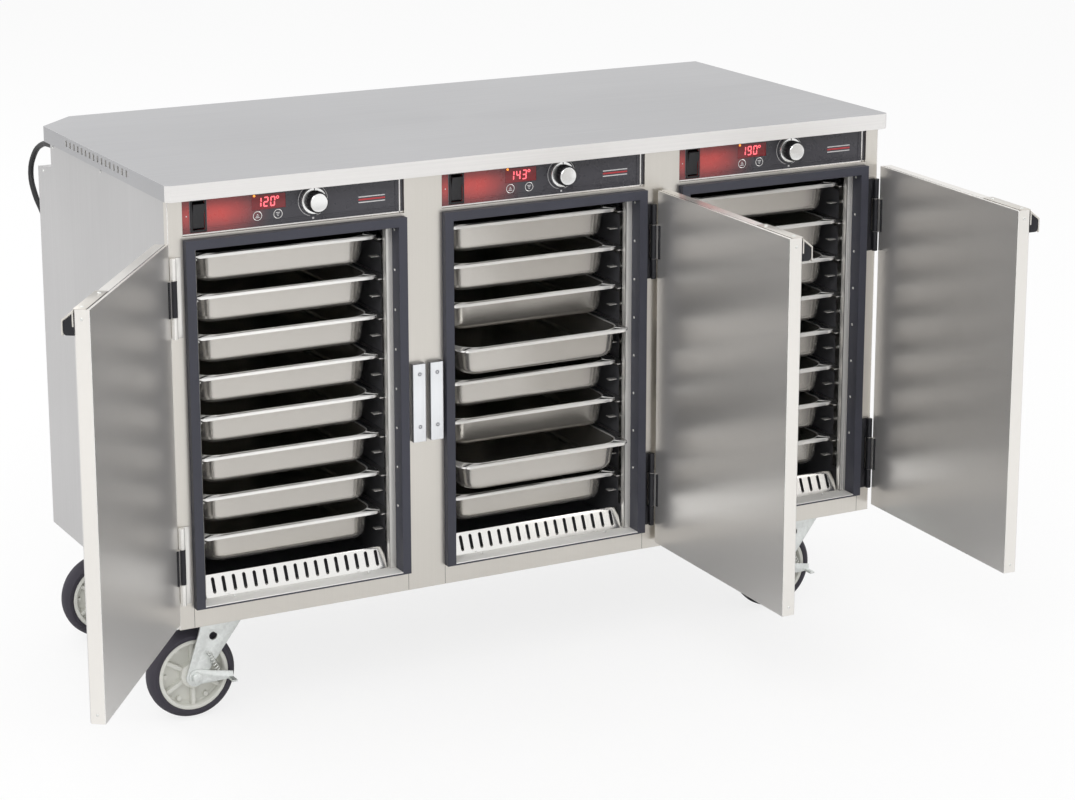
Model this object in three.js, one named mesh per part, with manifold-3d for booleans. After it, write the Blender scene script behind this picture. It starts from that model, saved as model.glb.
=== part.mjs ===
// A three-bay heated holding cabinet on swivel casters, in millimetres, +Z up.
//
// The origin is the centre of the base's underside. The doors' side faces -Y and
// the bays run along X. The three bays are alike: each has an inner lining, a pair of
// slide racks, an air strip, a gasket, a control fascia with a rocker and a knob,
// a door with a pull and two hinges, and a magnet bar that holds the door shut.

import * as THREE from "three";
import { mergeVertices } from "three/addons/utils/BufferGeometryUtils.js";
import Module from "manifold-3d";

const wasm = await Module();
wasm.setup();

// General
const gap = 0.3; // clearance between pieces that touch
const overrun = 5; // how far a cutting solid runs past what it cuts
const lap = 1; // how far two solids run into each other where they are joined
const sheet = 2; // folded sheet of the housing
const pinSides = 12; // sides of the pins, bores and knuckles
const quarter = Math.PI / 2;
const degree = Math.PI / 180;

// Cabinet
const panWidth = 325; // a full-size pan, which the bays are made for
const cavitySpare = 31; // cavity beyond the pan's width, for the racks
const bayMargin = 26; // opening of the face frame beyond the cavity's width
const stileWidth = 68; // upright between two bays
const sideStileWidth = 25;
const cabinetDepth = 630;
const railHeight = 33; // face frame below the doors
const levelCount = 8;
const levelPitch = 67.1;
const lowLevel = 134.1; // rim of the lowest pan
const headroom = 37.2; // from the uppermost rim to the top of the door opening
const bridge = 5; // strip of the face frame between the door opening and the fascia
const fasciaHeight = 64;
const frameDepth = 15;
const ledgeDrop = 78.7; // from the housing's top to the rear edge of the ledge behind the control space
const ledgeRise = 10;
const ledgeDepth = 72;

const cavityWidth = panWidth + cavitySpare;
const bayWidth = cavityWidth + bayMargin;
const bayPitch = bayWidth + stileWidth;
const topLevel = lowLevel + (levelCount - 1) * levelPitch;
const doorOpeningTop = topLevel + headroom;
const fasciaBottom = doorOpeningTop + bridge;
const fasciaTop = fasciaBottom + fasciaHeight;
const bayCentres = [-bayPitch, 0, bayPitch];
const bayNames = ["left", "middle", "right"];
const bayHalf = bayWidth / 2;
const cabinetHalf = bayPitch + bayHalf + sideStileWidth;
const face = -cabinetDepth / 2;
const back = cabinetDepth / 2;
const frameBack = face + frameDepth;
const upperBack = back - ledgeDepth;

// Worktop
const worktopOver = 23; // from the fascias' top to the worktop's
const worktopHeight = 26.5;
const worktopFront = 20; // overhang beyond the face
const worktopSide = 8;
const worktopRear = 7;
const worktopFrontCut = 7; // bevel of the two front corners
const worktopRearCut = 70; // corner cut away over the cord
const ventCount = 16;
const ventPitch = 19.5;
const ventWidth = 8;
const ventHeight = 11;
const ventFirst = 156; // from the face to the vent nearest it
const ventDrop = 11; // from the top to the vents' centres

const worktopTop = fasciaTop + worktopOver;
const worktopBottom = worktopTop - worktopHeight;
const bodyTop = worktopTop - sheet - gap;
const ledgeHeight = bodyTop - ledgeDrop;

// Base
const baseSheet = 3;
const casterPlateLength = 110;
const casterPlateWidth = 95;
const casterPlateSheet = 5;
const bossRadius = 30;
const bossHeight = 10;
const kingpinRadius = 7;
const kingpinNutRadius = 12;
const kingpinNutHeight = 5;
const swivelSideInset = 98; // from the cabinet's sides to the kingpins
const swivelFrontInset = 95;
const swivelRearInset = 110;

const swivelX = cabinetHalf - swivelSideInset;
const swivelFront = face + swivelFrontInset;
const swivelRear = back - swivelRearInset;

// Casters
const wheelRadius = 76;
const wheelSides = 24;
const tyreThickness = 15;
const wheelWidth = 38;
const hubLength = 46;
const hubRadius = 22;
const rimThickness = 6;
const webThickness = 6;
const spokeCount = 6;
const spokeWidth = 7;
const spokeDepth = 26;
const axleRadius = 5;
const axleNutRadius = 9;
const axleNutHeight = 6;
const trail = 48;
const axleDrop = 112; // from the base's underside
const forkSheet = 4;
const forkCrownRadius = 36;
const forkToeRadius = 17;
const pedalSheet = 3;
const pedalReach = 80;
const pedalHubRadius = 13;
const pedalTabDepth = 22;
const pedalTipWidth = 12;

// Lining and racks
const gasketSill = 3; // low bar of the gasket, level with the cavity's floor
const cavityHead = 7; // from the door opening's top down to the cavity's
const cavityRearSpace = 53; // for the heater and the fan behind the cavity
const liningFlange = 14;
const runnerWidth = 21;
const runnerDrop = 13;
const runnerFrontInset = 30; // from the face
const runnerRearInset = 65; // from the back
const uprightWidth = 20;
const uprightFrontInset = 37;
const uprightRearInset = 90;
const rackBottom = 72;
const rackHead = 24.2; // above the uppermost rim
const rackSheet = 2;

const rackTop = topLevel + rackHead;
const cavityBottom = railHeight + gasketSill;
const cavityTop = doorOpeningTop - cavityHead;
const cavityBack = back - cavityRearSpace;
const runnerFront = face + runnerFrontInset;
const runnerBack = back - runnerRearInset;
const uprightFront = face + uprightFrontInset;
const uprightRear = back - uprightRearInset;

// Pans
const panLength = 527;
const panDepth = 50;
const panSheet = 1.2;
const panRim = 9;
const panRimDrop = 3;
const panCorner = 45; // of the wall at the rim
const panRimCorner = 16; // outer corners of the rim
const panFloorCorner = 34;
const panTaper = 8 * degree;
const panInset = 36; // from the face to a pan's rim, pushed home
const panDrawn = 44; // how far the two pans stand out, just behind a shut door
const drawnLevels = [3, 6]; // pans of the middle bay that are pieces of their own
const panNames = ["pan_upper", "pan_lower"];

const panFront = face + panInset - panDrawn;

// Gasket and air strip
const gasketWidth = 15;
const gasketProud = 12;
const stripInset = 41; // from each side of the bay
const stripHeight = 34;
const stripLean = 24 * degree;
const stripSheet = 1.5;
const stripSlotPitch = 17;
const stripSlotWidth = 7;
const stripSlotHeight = 22;
const stripFoot = 10;
const stripBehind = 12; // from the face
const stripEnd = 12; // plain metal outside the slots

const stripFront = face + stripBehind;
const stripHalf = bayHalf - stripInset;
const stripSlots = 2 * Math.floor((stripHalf - stripEnd) / stripSlotPitch) + 1;

// Fascia
const fasciaRecess = 4;
const fasciaSheet = 3;
const trimProud = 0.8;
const trimWidth = 2;
const trimLow = 3; // lower trim line over the fascia's bottom
const trimHigh = 9; // upper trim line over the fascia's bottom
const trimUpright = 14; // upright trim line from the fascia's right end
const rockerX = 28; // centres from the bay's left edge
const rockerRise = 31; // centres over the fascia's bottom
const rockerWidth = 20;
const rockerHeight = 40;
const rockerDepth = 9;
const rockerCrest = 3;
const rockerTilt = 8 * degree;
const rockerTravel = 3; // room above and below the paddle
const bezelWidth = 3;
const bezelProud = 2;
const knobX = 223.5;
const knobRise = 36;
const knobSkirtRadius = 22;
const knobSkirtHeight = 7;
const knobNeckRadius = 17;
const knobCapRadius = 14.5;
const knobHeight = 26;
const knobEdge = 1.5;
const spindleRadius = 3;
const spindleLength = 8;
const displayX = 147.5;
const displayRise = 41.5;
const displayWidth = 58;
const displayHeight = 24;
const displaySink = 1;

const rockerZ = fasciaBottom + rockerRise;
const knobZ = fasciaBottom + knobRise;
const displayZ = fasciaBottom + displayRise;

// Doors
const doorLap = 42; // from the hinge pin to the free edge, beyond a bay's width
const doorInset = 3; // from the hinge pin to the hinged edge
const doorThickness = 24;
const doorBottom = 12;
const doorHead = 3; // from the opening's top down to the door's
const doorSkin = 1.5;
const doorBevel = 2;
const doorGap = 0.3; // between the shut door and the gasket
const weepWidth = 30; // drain slot in the door's lower edge
const weepDepth = 6;
const pinForward = 6.5; // from the face to the hinge pins
const outerPinInset = 5; // from the cabinet's sides
const middlePinInset = 15; // from the middle bay's right edge
const openAngles = [126, 89, 87.5];

const doorReach = bayWidth + doorLap;
const doorTop = doorOpeningTop - doorHead;
const outerPin = cabinetHalf - outerPinInset;
const middlePin = bayHalf + middlePinInset;

// Hinges
const hingeHeight = 130;
const hingeLow = 44;
const hingeHead = 153; // from the door's top down to the upper hinges' bottom
const hingeBottoms = [hingeLow, doorTop - hingeHead];
const hingeNames = ["lower", "upper"];
const knuckleRadius = 5;
const knuckleEnd = 35; // height of the frame leaf's upper and lower knuckles
const pinRadius = 2.2;
const leafSheet = 2.5;
const leafWidth = 15;
const leafRelief = 6;
const lugWidth = 10;

// Handles
const pullLength = 110;
const pullSheet = 2.5;
const pullReach = 19;
const pullTopDrop = 1; // from the door's top
const pullKneeDrop = 16;
const pullLipDrop = 40;
const pullFootDrop = 26;

const pullTop = doorTop - pullTopDrop;
const pullKnee = doorTop - pullKneeDrop;
const pullLip = doorTop - pullLipDrop;
const pullFoot = doorTop - pullFootDrop;

// Magnet bars
const barWidth = 24;
const barNarrow = 20;
const barHeight = 133;
const barBottom = 259;
const barBevel = 2;
const leftBarInset = 61; // from the middle bay's edges to the bars' left sides
const middleBarInset = 29;
const rightBarInset = 46.8;
const barPlaces = [
  [-bayHalf - leftBarInset, barWidth],
  [-bayHalf - middleBarInset, barWidth],
  [bayHalf + rightBarInset, barNarrow],
];

// Cord
const cordRadius = 5;
const cordSides = 8;
const cordSteps = 54;
const glandInset = 18; // from the cabinet's left side
const glandDrop = 40.7; // from the housing's top
const glandShank = 8;
const glandShankLength = 8;
const glandFlange = 11;
const glandFlangeHeight = 5;
const glandTip = 6.5;
const glandLength = 34;
const glandX = -cabinetHalf + glandInset;
const glandZ = bodyTop - glandDrop;
const floor = -axleDrop - wheelRadius;
const coilRight = 318; // from the gland to the coil's centre
const coilX = glandX + coilRight;
const coilBehind = 95; // from the cabinet's back to the coil's centre
const coilY = back + coilBehind;
const coilOuter = 70;
const coilStep = 12.5; // between neighbouring turns
const coilLift = 10.6; // between the two layers
const coilTurns = 2; // in each layer
const coilStepsPerTurn = 24;
const coilSides = 6;
const coilLead = 10;
const coilTail = 62;
const plugRadius = cordRadius + coilLift;
const plugNeck = 6.5;
const plugLength = 38;
const plugFace = 5;
const bladeLength = 16;
const bladeWidth = 6.4;
const bladeSheet = 1.6;
const bladeSpacing = 12.7;
const groundRadius = 2.4;
const groundDrop = 8;
// Where the free cord hangs: distances right of the gland and behind the back, then the share of the drop.
const cordDrop = glandZ - floor - cordRadius;
const cordRoute = [
  [0, -15, 0.0],
  [-1, 25, 0.0069],
  [-4, 63, 0.0344],
  [-7, 77, 0.0745],
  [-8, 57, 0.1123],
  [-4, 27, 0.1489],
  [8, 14, 0.2119],
  [42, 12, 0.3436],
  [90, 12, 0.504],
  [143, 13, 0.6644],
  [190, 16, 0.8133],
  [214, 21, 0.9049],
  [226, 24, 0.9565],
  [246, 25, 0.9897],
].map(([right, behind, share]) => [glandX + right, back + behind, glandZ - share * cordDrop]);

// Materials
function metal(colour, roughness, metalness = 0.9) {
  return new THREE.MeshStandardMaterial({ color: colour, roughness, metalness });
}

const steel = metal(0xc9c7c3, 0.35);
const trimSteel = metal(0xd9d4cc, 0.4);
const innerSteel = metal(0x55565a, 0.5);
const zinc = metal(0xc6c9c6, 0.45);
const fasciaPaint = metal(0x3c3b40, 0.5, 0.1);
const blackPlastic = metal(0x141416, 0.45, 0);
const gasketRubber = metal(0x4a4b57, 0.7, 0);
const tyreRubber = metal(0x2c2b31, 0.75, 0);
const blackSteel = metal(0x1b1b1d, 0.5, 0.4);

const group = new THREE.Group();

function place(name, geometry, material, parent = group) {
  const mesh = new THREE.Mesh(geometry, material);
  mesh.name = name;
  parent.add(mesh);
  return mesh;
}

// Solid helpers
function toSolid(geometry) {
  const bare = geometry.clone();
  bare.deleteAttribute("normal");
  bare.deleteAttribute("uv");
  const merged = mergeVertices(bare, gap / overrun / overrun);
  const mesh = new wasm.Mesh({
    numProp: 3,
    vertProperties: new Float32Array(merged.attributes.position.array),
    triVerts: new Uint32Array(merged.index.array),
  });
  return new wasm.Manifold(mesh);
}

function toGeometry(solid) {
  const mesh = solid.getMesh();
  const geometry = new THREE.BufferGeometry();
  geometry.setAttribute("position", new THREE.BufferAttribute(mesh.vertProperties, 3));
  geometry.setIndex(new THREE.BufferAttribute(mesh.triVerts, 1));
  geometry.computeVertexNormals();
  return geometry;
}

function join(...geometries) {
  return toGeometry(geometries.map(toSolid).reduce((sum, next) => sum.add(next)));
}

function cut(geometry, ...tools) {
  return toGeometry(tools.map(toSolid).reduce((rest, tool) => rest.subtract(tool), toSolid(geometry)));
}

function block(x0, x1, y0, y1, z0, z1) {
  const box = new THREE.BoxGeometry(x1 - x0, y1 - y0, z1 - z0);
  return box.translate((x0 + x1) / 2, (y0 + y1) / 2, (z0 + z1) / 2);
}

function outline(points) {
  return new THREE.Shape(points.map(([a, b]) => new THREE.Vector2(a, b)));
}

function rectangle(a0, a1, b0, b1) {
  return [[a0, b0], [a1, b0], [a1, b1], [a0, b1]];
}

// An outline in XZ, as seen from the front, made solid from y0 to y1.
function frontal(shape, y0, y1) {
  const solid = new THREE.ExtrudeGeometry(shape, { depth: y1 - y0, bevelEnabled: false });
  return solid.rotateX(quarter).translate(0, y1, 0);
}

// An outline in YZ, as seen from the side, made solid from x0 to x1.
function lateral(shape, x0, x1) {
  const solid = new THREE.ExtrudeGeometry(shape, { depth: x1 - x0, bevelEnabled: false });
  return solid.rotateX(quarter).rotateZ(quarter).translate(x0, 0, 0);
}

// An outline in XY, as seen from above, made solid from z0 to z1.
function upright(shape, z0, z1) {
  return new THREE.ExtrudeGeometry(shape, { depth: z1 - z0, bevelEnabled: false }).translate(0, 0, z0);
}

// A round bar along Z; a solid turned about Z from [radius, height] pairs that run down its outside.
function bar(radius, z0, z1, sides = 24) {
  const solid = new THREE.CylinderGeometry(radius, radius, z1 - z0, sides).rotateX(quarter);
  return solid.translate(0, 0, (z0 + z1) / 2);
}

function turned(profile, sides) {
  const upwards = profile.map(([r, h]) => new THREE.Vector2(r, h)).reverse();
  return new THREE.LatheGeometry(upwards, sides).rotateX(quarter);
}

// Housing
function worktopOutline(inset) {
  const side = cabinetHalf + worktopSide - inset;
  const front = face - worktopFront + inset;
  const rear = back + worktopRear - inset;
  const slimming = inset * (2 - Math.SQRT2);
  const frontCut = worktopFrontCut - slimming;
  const rearCut = worktopRearCut - slimming;
  return outline([
    [-side + frontCut, front],
    [side - frontCut, front],
    [side, front + frontCut],
    [side, rear],
    [-side + rearCut, rear],
    [-side, rear - rearCut],
    [-side, front + frontCut],
  ]);
}

const vents = [];
for (let k = 0; k < ventCount; k += 1) {
  const y = face + ventFirst + k * ventPitch;
  const z = worktopTop - ventDrop;
  const x = -cabinetHalf - worktopSide;
  vents.push(block(
    x - overrun, x + sheet + gap,
    y - ventWidth / 2, y + ventWidth / 2,
    z - ventHeight / 2, z + ventHeight / 2,
  ));
}
place("worktop", cut(
  upright(worktopOutline(0), worktopBottom, worktopTop),
  upright(worktopOutline(sheet), worktopBottom - overrun, worktopTop - sheet),
  ...vents,
), steel);

function housingProfile(inset, past) {
  const slope = ledgeRise / ledgeDepth;
  return outline([
    [frameBack + gap - past, -past],
    [back - inset, -past],
    [back - inset, ledgeHeight - inset],
    [upperBack - inset, ledgeHeight - inset + ledgeDepth * slope],
    [upperBack - inset, bodyTop + past],
    [frameBack + gap - past, bodyTop + past],
  ]);
}

const glandHole = bar(glandShank + gap, -overrun, overrun).rotateX(quarter);
place("outer_shell", cut(
  lateral(housingProfile(0, 0), -cabinetHalf, cabinetHalf),
  lateral(housingProfile(sheet, overrun), -cabinetHalf + sheet, cabinetHalf - sheet),
  glandHole.translate(glandX, upperBack, glandZ),
), steel);

const bayCuts = bayCentres.flatMap((x) => [[railHeight, doorOpeningTop], [fasciaBottom, fasciaTop]]
  .map(([low, high]) => block(x - bayHalf, x + bayHalf, face - overrun, frameBack + overrun, low, high)));
place("face_frame", cut(
  block(-cabinetHalf, cabinetHalf, face, frameBack, 0, bodyTop),
  ...bayCuts,
), trimSteel);

const baseHalf = cabinetHalf - sheet - gap;
const baseFront = frameBack + gap;
const baseRear = back - sheet - gap;
const casterPlaces = [
  ["front_left", -swivelX, swivelFront],
  ["front_right", swivelX, swivelFront],
  ["rear_left", -swivelX, swivelRear],
  ["rear_right", swivelX, swivelRear],
];
const bossBottom = -casterPlateSheet - bossHeight;
const crownTop = bossBottom - gap;
const crownBottom = crownTop - forkSheet;
const nutTop = crownBottom - gap;
const baseTray = cut(
  block(-baseHalf, baseHalf, baseFront, baseRear, 0, railHeight),
  block(
    -baseHalf + baseSheet, baseHalf - baseSheet,
    baseFront + baseSheet, baseRear - baseSheet,
    baseSheet, railHeight + overrun,
  ),
);
const casterTops = casterPlaces.flatMap(([, x, y]) => [
  block(
    x - casterPlateLength / 2, x + casterPlateLength / 2,
    y - casterPlateWidth / 2, y + casterPlateWidth / 2,
    -casterPlateSheet, lap,
  ),
  bar(bossRadius, bossBottom, -casterPlateSheet + lap).translate(x, y, 0),
  bar(kingpinRadius, nutTop - kingpinNutHeight, bossBottom + lap, pinSides).translate(x, y, 0),
  bar(kingpinNutRadius, nutTop - kingpinNutHeight, nutTop, 6).translate(x, y, 0),
]);
place("base_frame", join(baseTray, ...casterTops), steel);

// Casters
const rimRadius = wheelRadius - tyreThickness;
const rimInner = rimRadius - rimThickness;
const treadShares = [[0.55, 0.5], [0.9, 0.34], [1, 0.1]]; // of the tyre's thickness and width

function wheelGeometry() {
  // Half of the section through bore, hub, web, rim and tread; the other half mirrors it.
  const half = [
    [axleRadius + gap, hubLength / 2],
    [(axleRadius + 2 * hubRadius) / 3, hubLength / 2],
    [hubRadius, wheelWidth / 2 - lap],
    [hubRadius, webThickness / 2],
    [rimInner, webThickness / 2],
    [rimInner, wheelWidth / 2],
    ...treadShares.map(([r, h]) => [rimRadius + tyreThickness * r, wheelWidth * h]),
  ];
  const section = [...half, ...half.map(([r, h]) => [r, -h]).reverse()];
  const wheel = turned([...section, section[0]], wheelSides);
  const spokes = [];
  for (let k = 0; k < spokeCount; k += 1) {
    const spoke = block(
      hubRadius - lap, rimInner + lap,
      -spokeWidth / 2, spokeWidth / 2,
      -spokeDepth / 2, spokeDepth / 2,
    );
    spokes.push(spoke.rotateZ(((k + 0.5) / spokeCount) * 2 * Math.PI));
  }
  return join(wheel, ...spokes).rotateX(quarter);
}

function arcPoints(a, b, radius, from, to, steps) {
  const points = [];
  for (let k = 0; k <= steps; k += 1) {
    const angle = from + ((to - from) * k) / steps;
    points.push([a + radius * Math.cos(angle), b + radius * Math.sin(angle)]);
  }
  return points;
}

const legInner = hubLength / 2 + gap;
const legOuter = legInner + forkSheet;

function forkGeometry() {
  const cheek = outline([
    [forkCrownRadius, crownTop],
    [-forkCrownRadius, crownTop],
    [-forkCrownRadius, crownBottom - forkSheet],
    ...arcPoints(-trail, -axleDrop, forkToeRadius, Math.PI, 2 * Math.PI, 8),
    [forkCrownRadius, crownBottom - forkSheet],
  ]);
  const sides = [-1, 1].map((side) => frontal(
    cheek,
    side < 0 ? -legOuter : legInner,
    side < 0 ? -legInner : legOuter,
  ));
  const crown = block(-forkCrownRadius, forkCrownRadius, -legInner - lap, legInner + lap, crownBottom, crownTop);
  const axleEnd = legOuter + gap + pedalSheet + gap + axleNutHeight;
  const axle = bar(axleRadius, -axleEnd, axleEnd, pinSides).rotateX(quarter).translate(-trail, 0, -axleDrop);
  const nuts = [-1, 1].map((side) => bar(axleNutRadius, -axleNutHeight / 2, axleNutHeight / 2, 6)
    .rotateX(quarter)
    .translate(-trail, side * (axleEnd - axleNutHeight / 2), -axleDrop));
  const kingpinBore = bar(kingpinRadius + gap, crownBottom - overrun, crownTop + overrun, pinSides);
  return cut(join(crown, ...sides, axle, ...nuts), kingpinBore);
}

function pedalGeometry() {
  const inner = -legOuter - gap;
  const arm = frontal(outline([
    ...arcPoints(0, 0, pedalHubRadius, quarter, 3 * quarter, 8),
    [pedalReach, -pedalTipWidth],
    [pedalReach, 0],
  ]), inner - pedalSheet, inner);
  const tab = block(
    pedalReach - pedalTipWidth, pedalReach,
    inner - pedalTabDepth, inner,
    -pedalTipWidth, -pedalTipWidth + pedalSheet,
  );
  const bore = bar(axleRadius + gap, legInner, axleRadius + legOuter + pedalTabDepth, pinSides);
  return cut(join(arm, tab), bore.rotateX(quarter));
}

for (const [name, x, y] of casterPlaces) {
  const caster = new THREE.Group();
  caster.position.set(x, y, 0);
  group.add(caster);
  place(`caster_fork_${name}`, forkGeometry(), zinc, caster);
  place(`wheel_${name}`, wheelGeometry(), tyreRubber, caster).position.set(-trail, 0, -axleDrop);
  if (y === swivelFront) {
    place(`brake_pedal_${name}`, pedalGeometry(), zinc, caster).position.set(-trail, 0, -axleDrop);
  }
}

// Linings and racks
function liningGeometry() {
  const half = cavityWidth / 2;
  const front = frameBack + gap;
  const skin = block(
    -half - sheet, half + sheet,
    front, cavityBack + sheet,
    cavityBottom - sheet, cavityTop + sheet,
  );
  const flange = frontal(
    outline(rectangle(-half - liningFlange, half + liningFlange, railHeight + gap, cavityTop + liningFlange)),
    front,
    front + sheet,
  );
  const hollow = block(-half, half, front - overrun, cavityBack, cavityBottom, cavityTop);
  return cut(join(skin, flange), hollow);
}

function rackGeometry() {
  // The rack on a bay's right; the left one is its mirror image.
  const wall = cavityWidth / 2 - gap;
  const webFace = wall - rackSheet;
  const pieces = [uprightFront, uprightRear].map((y) => block(
    webFace, wall, y, y + uprightWidth, rackBottom, rackTop,
  ));
  for (let k = 0; k < levelCount; k += 1) {
    const top = topLevel - k * levelPitch - panRimDrop - gap;
    const profile = [
      [wall - runnerWidth, top],
      [wall - runnerWidth, top - rackSheet],
      [webFace - rackSheet, top - rackSheet],
      [webFace - rackSheet, top - runnerDrop],
      [webFace + lap / 2, top - runnerDrop],
      [webFace + lap / 2, top],
    ];
    pieces.push(frontal(outline(profile), runnerFront, runnerBack));
  }
  return join(...pieces);
}

function mirrored(geometry) {
  const copy = geometry.clone().scale(-1, 1, 1);
  const index = copy.index.array;
  for (let k = 0; k < index.length; k += 3) {
    [index[k], index[k + 1]] = [index[k + 1], index[k]];
  }
  copy.computeVertexNormals();
  return copy;
}

// Pans
function roundedRing(halfWidth, halfLength, corner, z) {
  const steps = 4;
  const centres = [[1, 1], [-1, 1], [-1, -1], [1, -1]];
  return centres.flatMap(([sx, sy], k) => arcPoints(
    sx * (halfWidth - corner), sy * (halfLength - corner), corner,
    k * quarter, (k + 1) * quarter, steps,
  )).map(([x, y]) => [x, y, z]);
}

// Rings of equal count, joined in order and capped at both ends.
function loft(rings) {
  const count = rings[0].length;
  const position = rings.flat(2);
  const index = [];
  for (let r = 0; r + 1 < rings.length; r += 1) {
    for (let k = 0; k < count; k += 1) {
      const a = r * count + k;
      const b = r * count + ((k + 1) % count);
      index.push(a, b, b + count, a, b + count, a + count);
    }
  }
  const last = (rings.length - 1) * count;
  for (let k = 1; k + 1 < count; k += 1) {
    index.push(0, k + 1, k, last, last + k, last + k + 1);
  }
  const geometry = new THREE.BufferGeometry();
  geometry.setAttribute("position", new THREE.Float32BufferAttribute(position, 3));
  geometry.setIndex(index);
  geometry.computeVertexNormals();
  return geometry;
}

function panGeometry() {
  const width = panWidth / 2;
  const length = panLength / 2;
  const lean = Math.tan(panTaper);
  const floorCornerHeight = panDepth / 5;
  const ring = (inset, corner, z) => roundedRing(width - inset, length - inset, corner, z);
  const wall = (depth) => panRim + (depth - panSheet) * lean;
  const low = panDepth - floorCornerHeight;
  // From the underside of the floor, up the outside, over the rim and down inside.
  return loft([
    ring(wall(panDepth) + floorCornerHeight, panFloorCorner, -panDepth),
    ring(wall(panDepth) + floorCornerHeight / 3, panFloorCorner, -panDepth + floorCornerHeight / 4),
    ring(wall(low), panCorner - floorCornerHeight / 3, -low),
    ring(panRim, panCorner - panRim / 2, -panSheet),
    ring(panSheet, panRimCorner - panSheet, -panSheet),
    ring(panSheet, panRimCorner - panSheet, -panRimDrop),
    ring(0, panRimCorner, -panRimDrop),
    ring(0, panRimCorner, 0),
    ring(panRim + panSheet, panCorner - panRim / 2 - panSheet, 0),
    ring(wall(low) + panSheet, panCorner - floorCornerHeight / 3 - panSheet, -low),
    ring(wall(panDepth) + floorCornerHeight / 3 + panSheet, panFloorCorner, -panDepth + floorCornerHeight / 4 + panSheet),
    ring(wall(panDepth) + floorCornerHeight + panSheet, panFloorCorner, -panDepth + panSheet),
  ]);
}

drawnLevels.forEach((level, k) => {
  const pan = place(panNames[k], panGeometry(), steel);
  pan.position.set(0, panFront + panLength / 2, topLevel - level * levelPitch);
});

// Gaskets and air strips
function gasketGeometry() {
  const half = bayHalf - gap;
  const low = railHeight + gap;
  const high = doorOpeningTop - gap;
  const frame = outline(rectangle(-half, half, low, high));
  frame.holes.push(outline(rectangle(-half + gasketWidth, half - gasketWidth, low + gasketSill, high - gasketWidth)));
  return frontal(frame, face - gasketProud, frameBack);
}

function airStripGeometry() {
  const middle = (stripSlots - 1) / 2;
  const low = (stripHeight - stripSlotHeight) / 2;
  const slots = [];
  for (let k = 0; k < stripSlots; k += 1) {
    const x = (k - middle) * stripSlotPitch;
    slots.push(block(
      x - stripSlotWidth / 2, x + stripSlotWidth / 2,
      -overrun, stripSheet + overrun,
      low, low + stripSlotHeight,
    ));
  }
  const slanted = cut(block(-stripHalf, stripHalf, 0, stripSheet, 0, stripHeight), ...slots)
    .rotateX(-stripLean)
    .translate(0, 0, stripSheet * Math.sin(stripLean));
  const foot = block(-stripHalf, stripHalf, 0, stripFoot, 0, stripSheet);
  const seat = railHeight + gap + gasketSill + gap;
  return join(slanted, foot).translate(0, stripFront, seat);
}

// Controls
const fasciaFront = face + fasciaRecess;
const fasciaRear = fasciaFront + fasciaSheet;

function fasciaGeometry() {
  const low = fasciaBottom + gap;
  const high = fasciaTop - gap;
  const left = -bayHalf + gap;
  const right = bayHalf - gap;
  const trimFront = fasciaFront - trimProud;
  const rocker = -bayHalf + rockerX;
  const knob = -bayHalf + knobX;
  const display = -bayHalf + displayX;
  const paddleHalf = rockerWidth / 2 + gap;
  const slotHalf = rockerHeight / 2 + rockerTravel;
  const plate = block(left, right, fasciaFront, fasciaRear, low, high);
  const trims = [trimLow, trimHigh].map((z) => block(
    left, right, trimFront, fasciaFront + lap, low + z, low + z + trimWidth,
  ));
  trims.push(block(right - trimUpright, right - trimUpright + trimWidth, trimFront, fasciaFront + lap, low, high));
  const bezel = block(
    rocker - paddleHalf - bezelWidth, rocker + paddleHalf + bezelWidth,
    fasciaFront - bezelProud, fasciaFront + lap,
    rockerZ - slotHalf - bezelWidth, rockerZ + slotHalf + bezelWidth,
  );
  const rockerSlot = block(
    rocker - paddleHalf, rocker + paddleHalf,
    fasciaFront - overrun, fasciaRear + overrun,
    rockerZ - slotHalf, rockerZ + slotHalf,
  );
  const window = block(
    display - displayWidth / 2, display + displayWidth / 2,
    fasciaFront - overrun, fasciaFront + displaySink,
    displayZ - displayHeight / 2, displayZ + displayHeight / 2,
  );
  const spindleHole = bar(spindleRadius + gap, -overrun, overrun, pinSides).rotateX(quarter);
  return cut(
    join(plate, ...trims, bezel),
    rockerSlot,
    window,
    spindleHole.translate(knob, fasciaFront, knobZ),
  );
}

function rockerGeometry() {
  const half = rockerHeight / 2;
  const depth = rockerDepth / 2;
  return lateral(outline([
    [-depth, half],
    [-depth + rockerCrest, 0],
    [-depth, -half],
    [depth, -half],
    [depth, half],
  ]), -rockerWidth / 2, rockerWidth / 2).rotateX(rockerTilt);
}

function knobGeometry() {
  // Turned about Z with the cap upwards, then faced to the front.
  return turned([
    [0, -spindleLength],
    [spindleRadius, -spindleLength],
    [spindleRadius, gap],
    [knobSkirtRadius, gap],
    [knobSkirtRadius, knobSkirtHeight - knobEdge],
    [knobSkirtRadius - knobEdge, knobSkirtHeight],
    [knobNeckRadius, knobSkirtHeight],
    [knobNeckRadius, knobHeight - knobEdge],
    [knobCapRadius, knobHeight],
    [0, knobHeight],
  ].reverse(), 24).rotateX(quarter);
}

// Doors, pulls and hinges
const doorInner = face - gasketProud - doorGap;
const doorOuter = doorInner - doorThickness;
const pinY = face - pinForward;
const pinInner = doorInner - pinY; // from the pin's axis to the door's inner face
const pinOuter = doorOuter - pinY;

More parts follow.
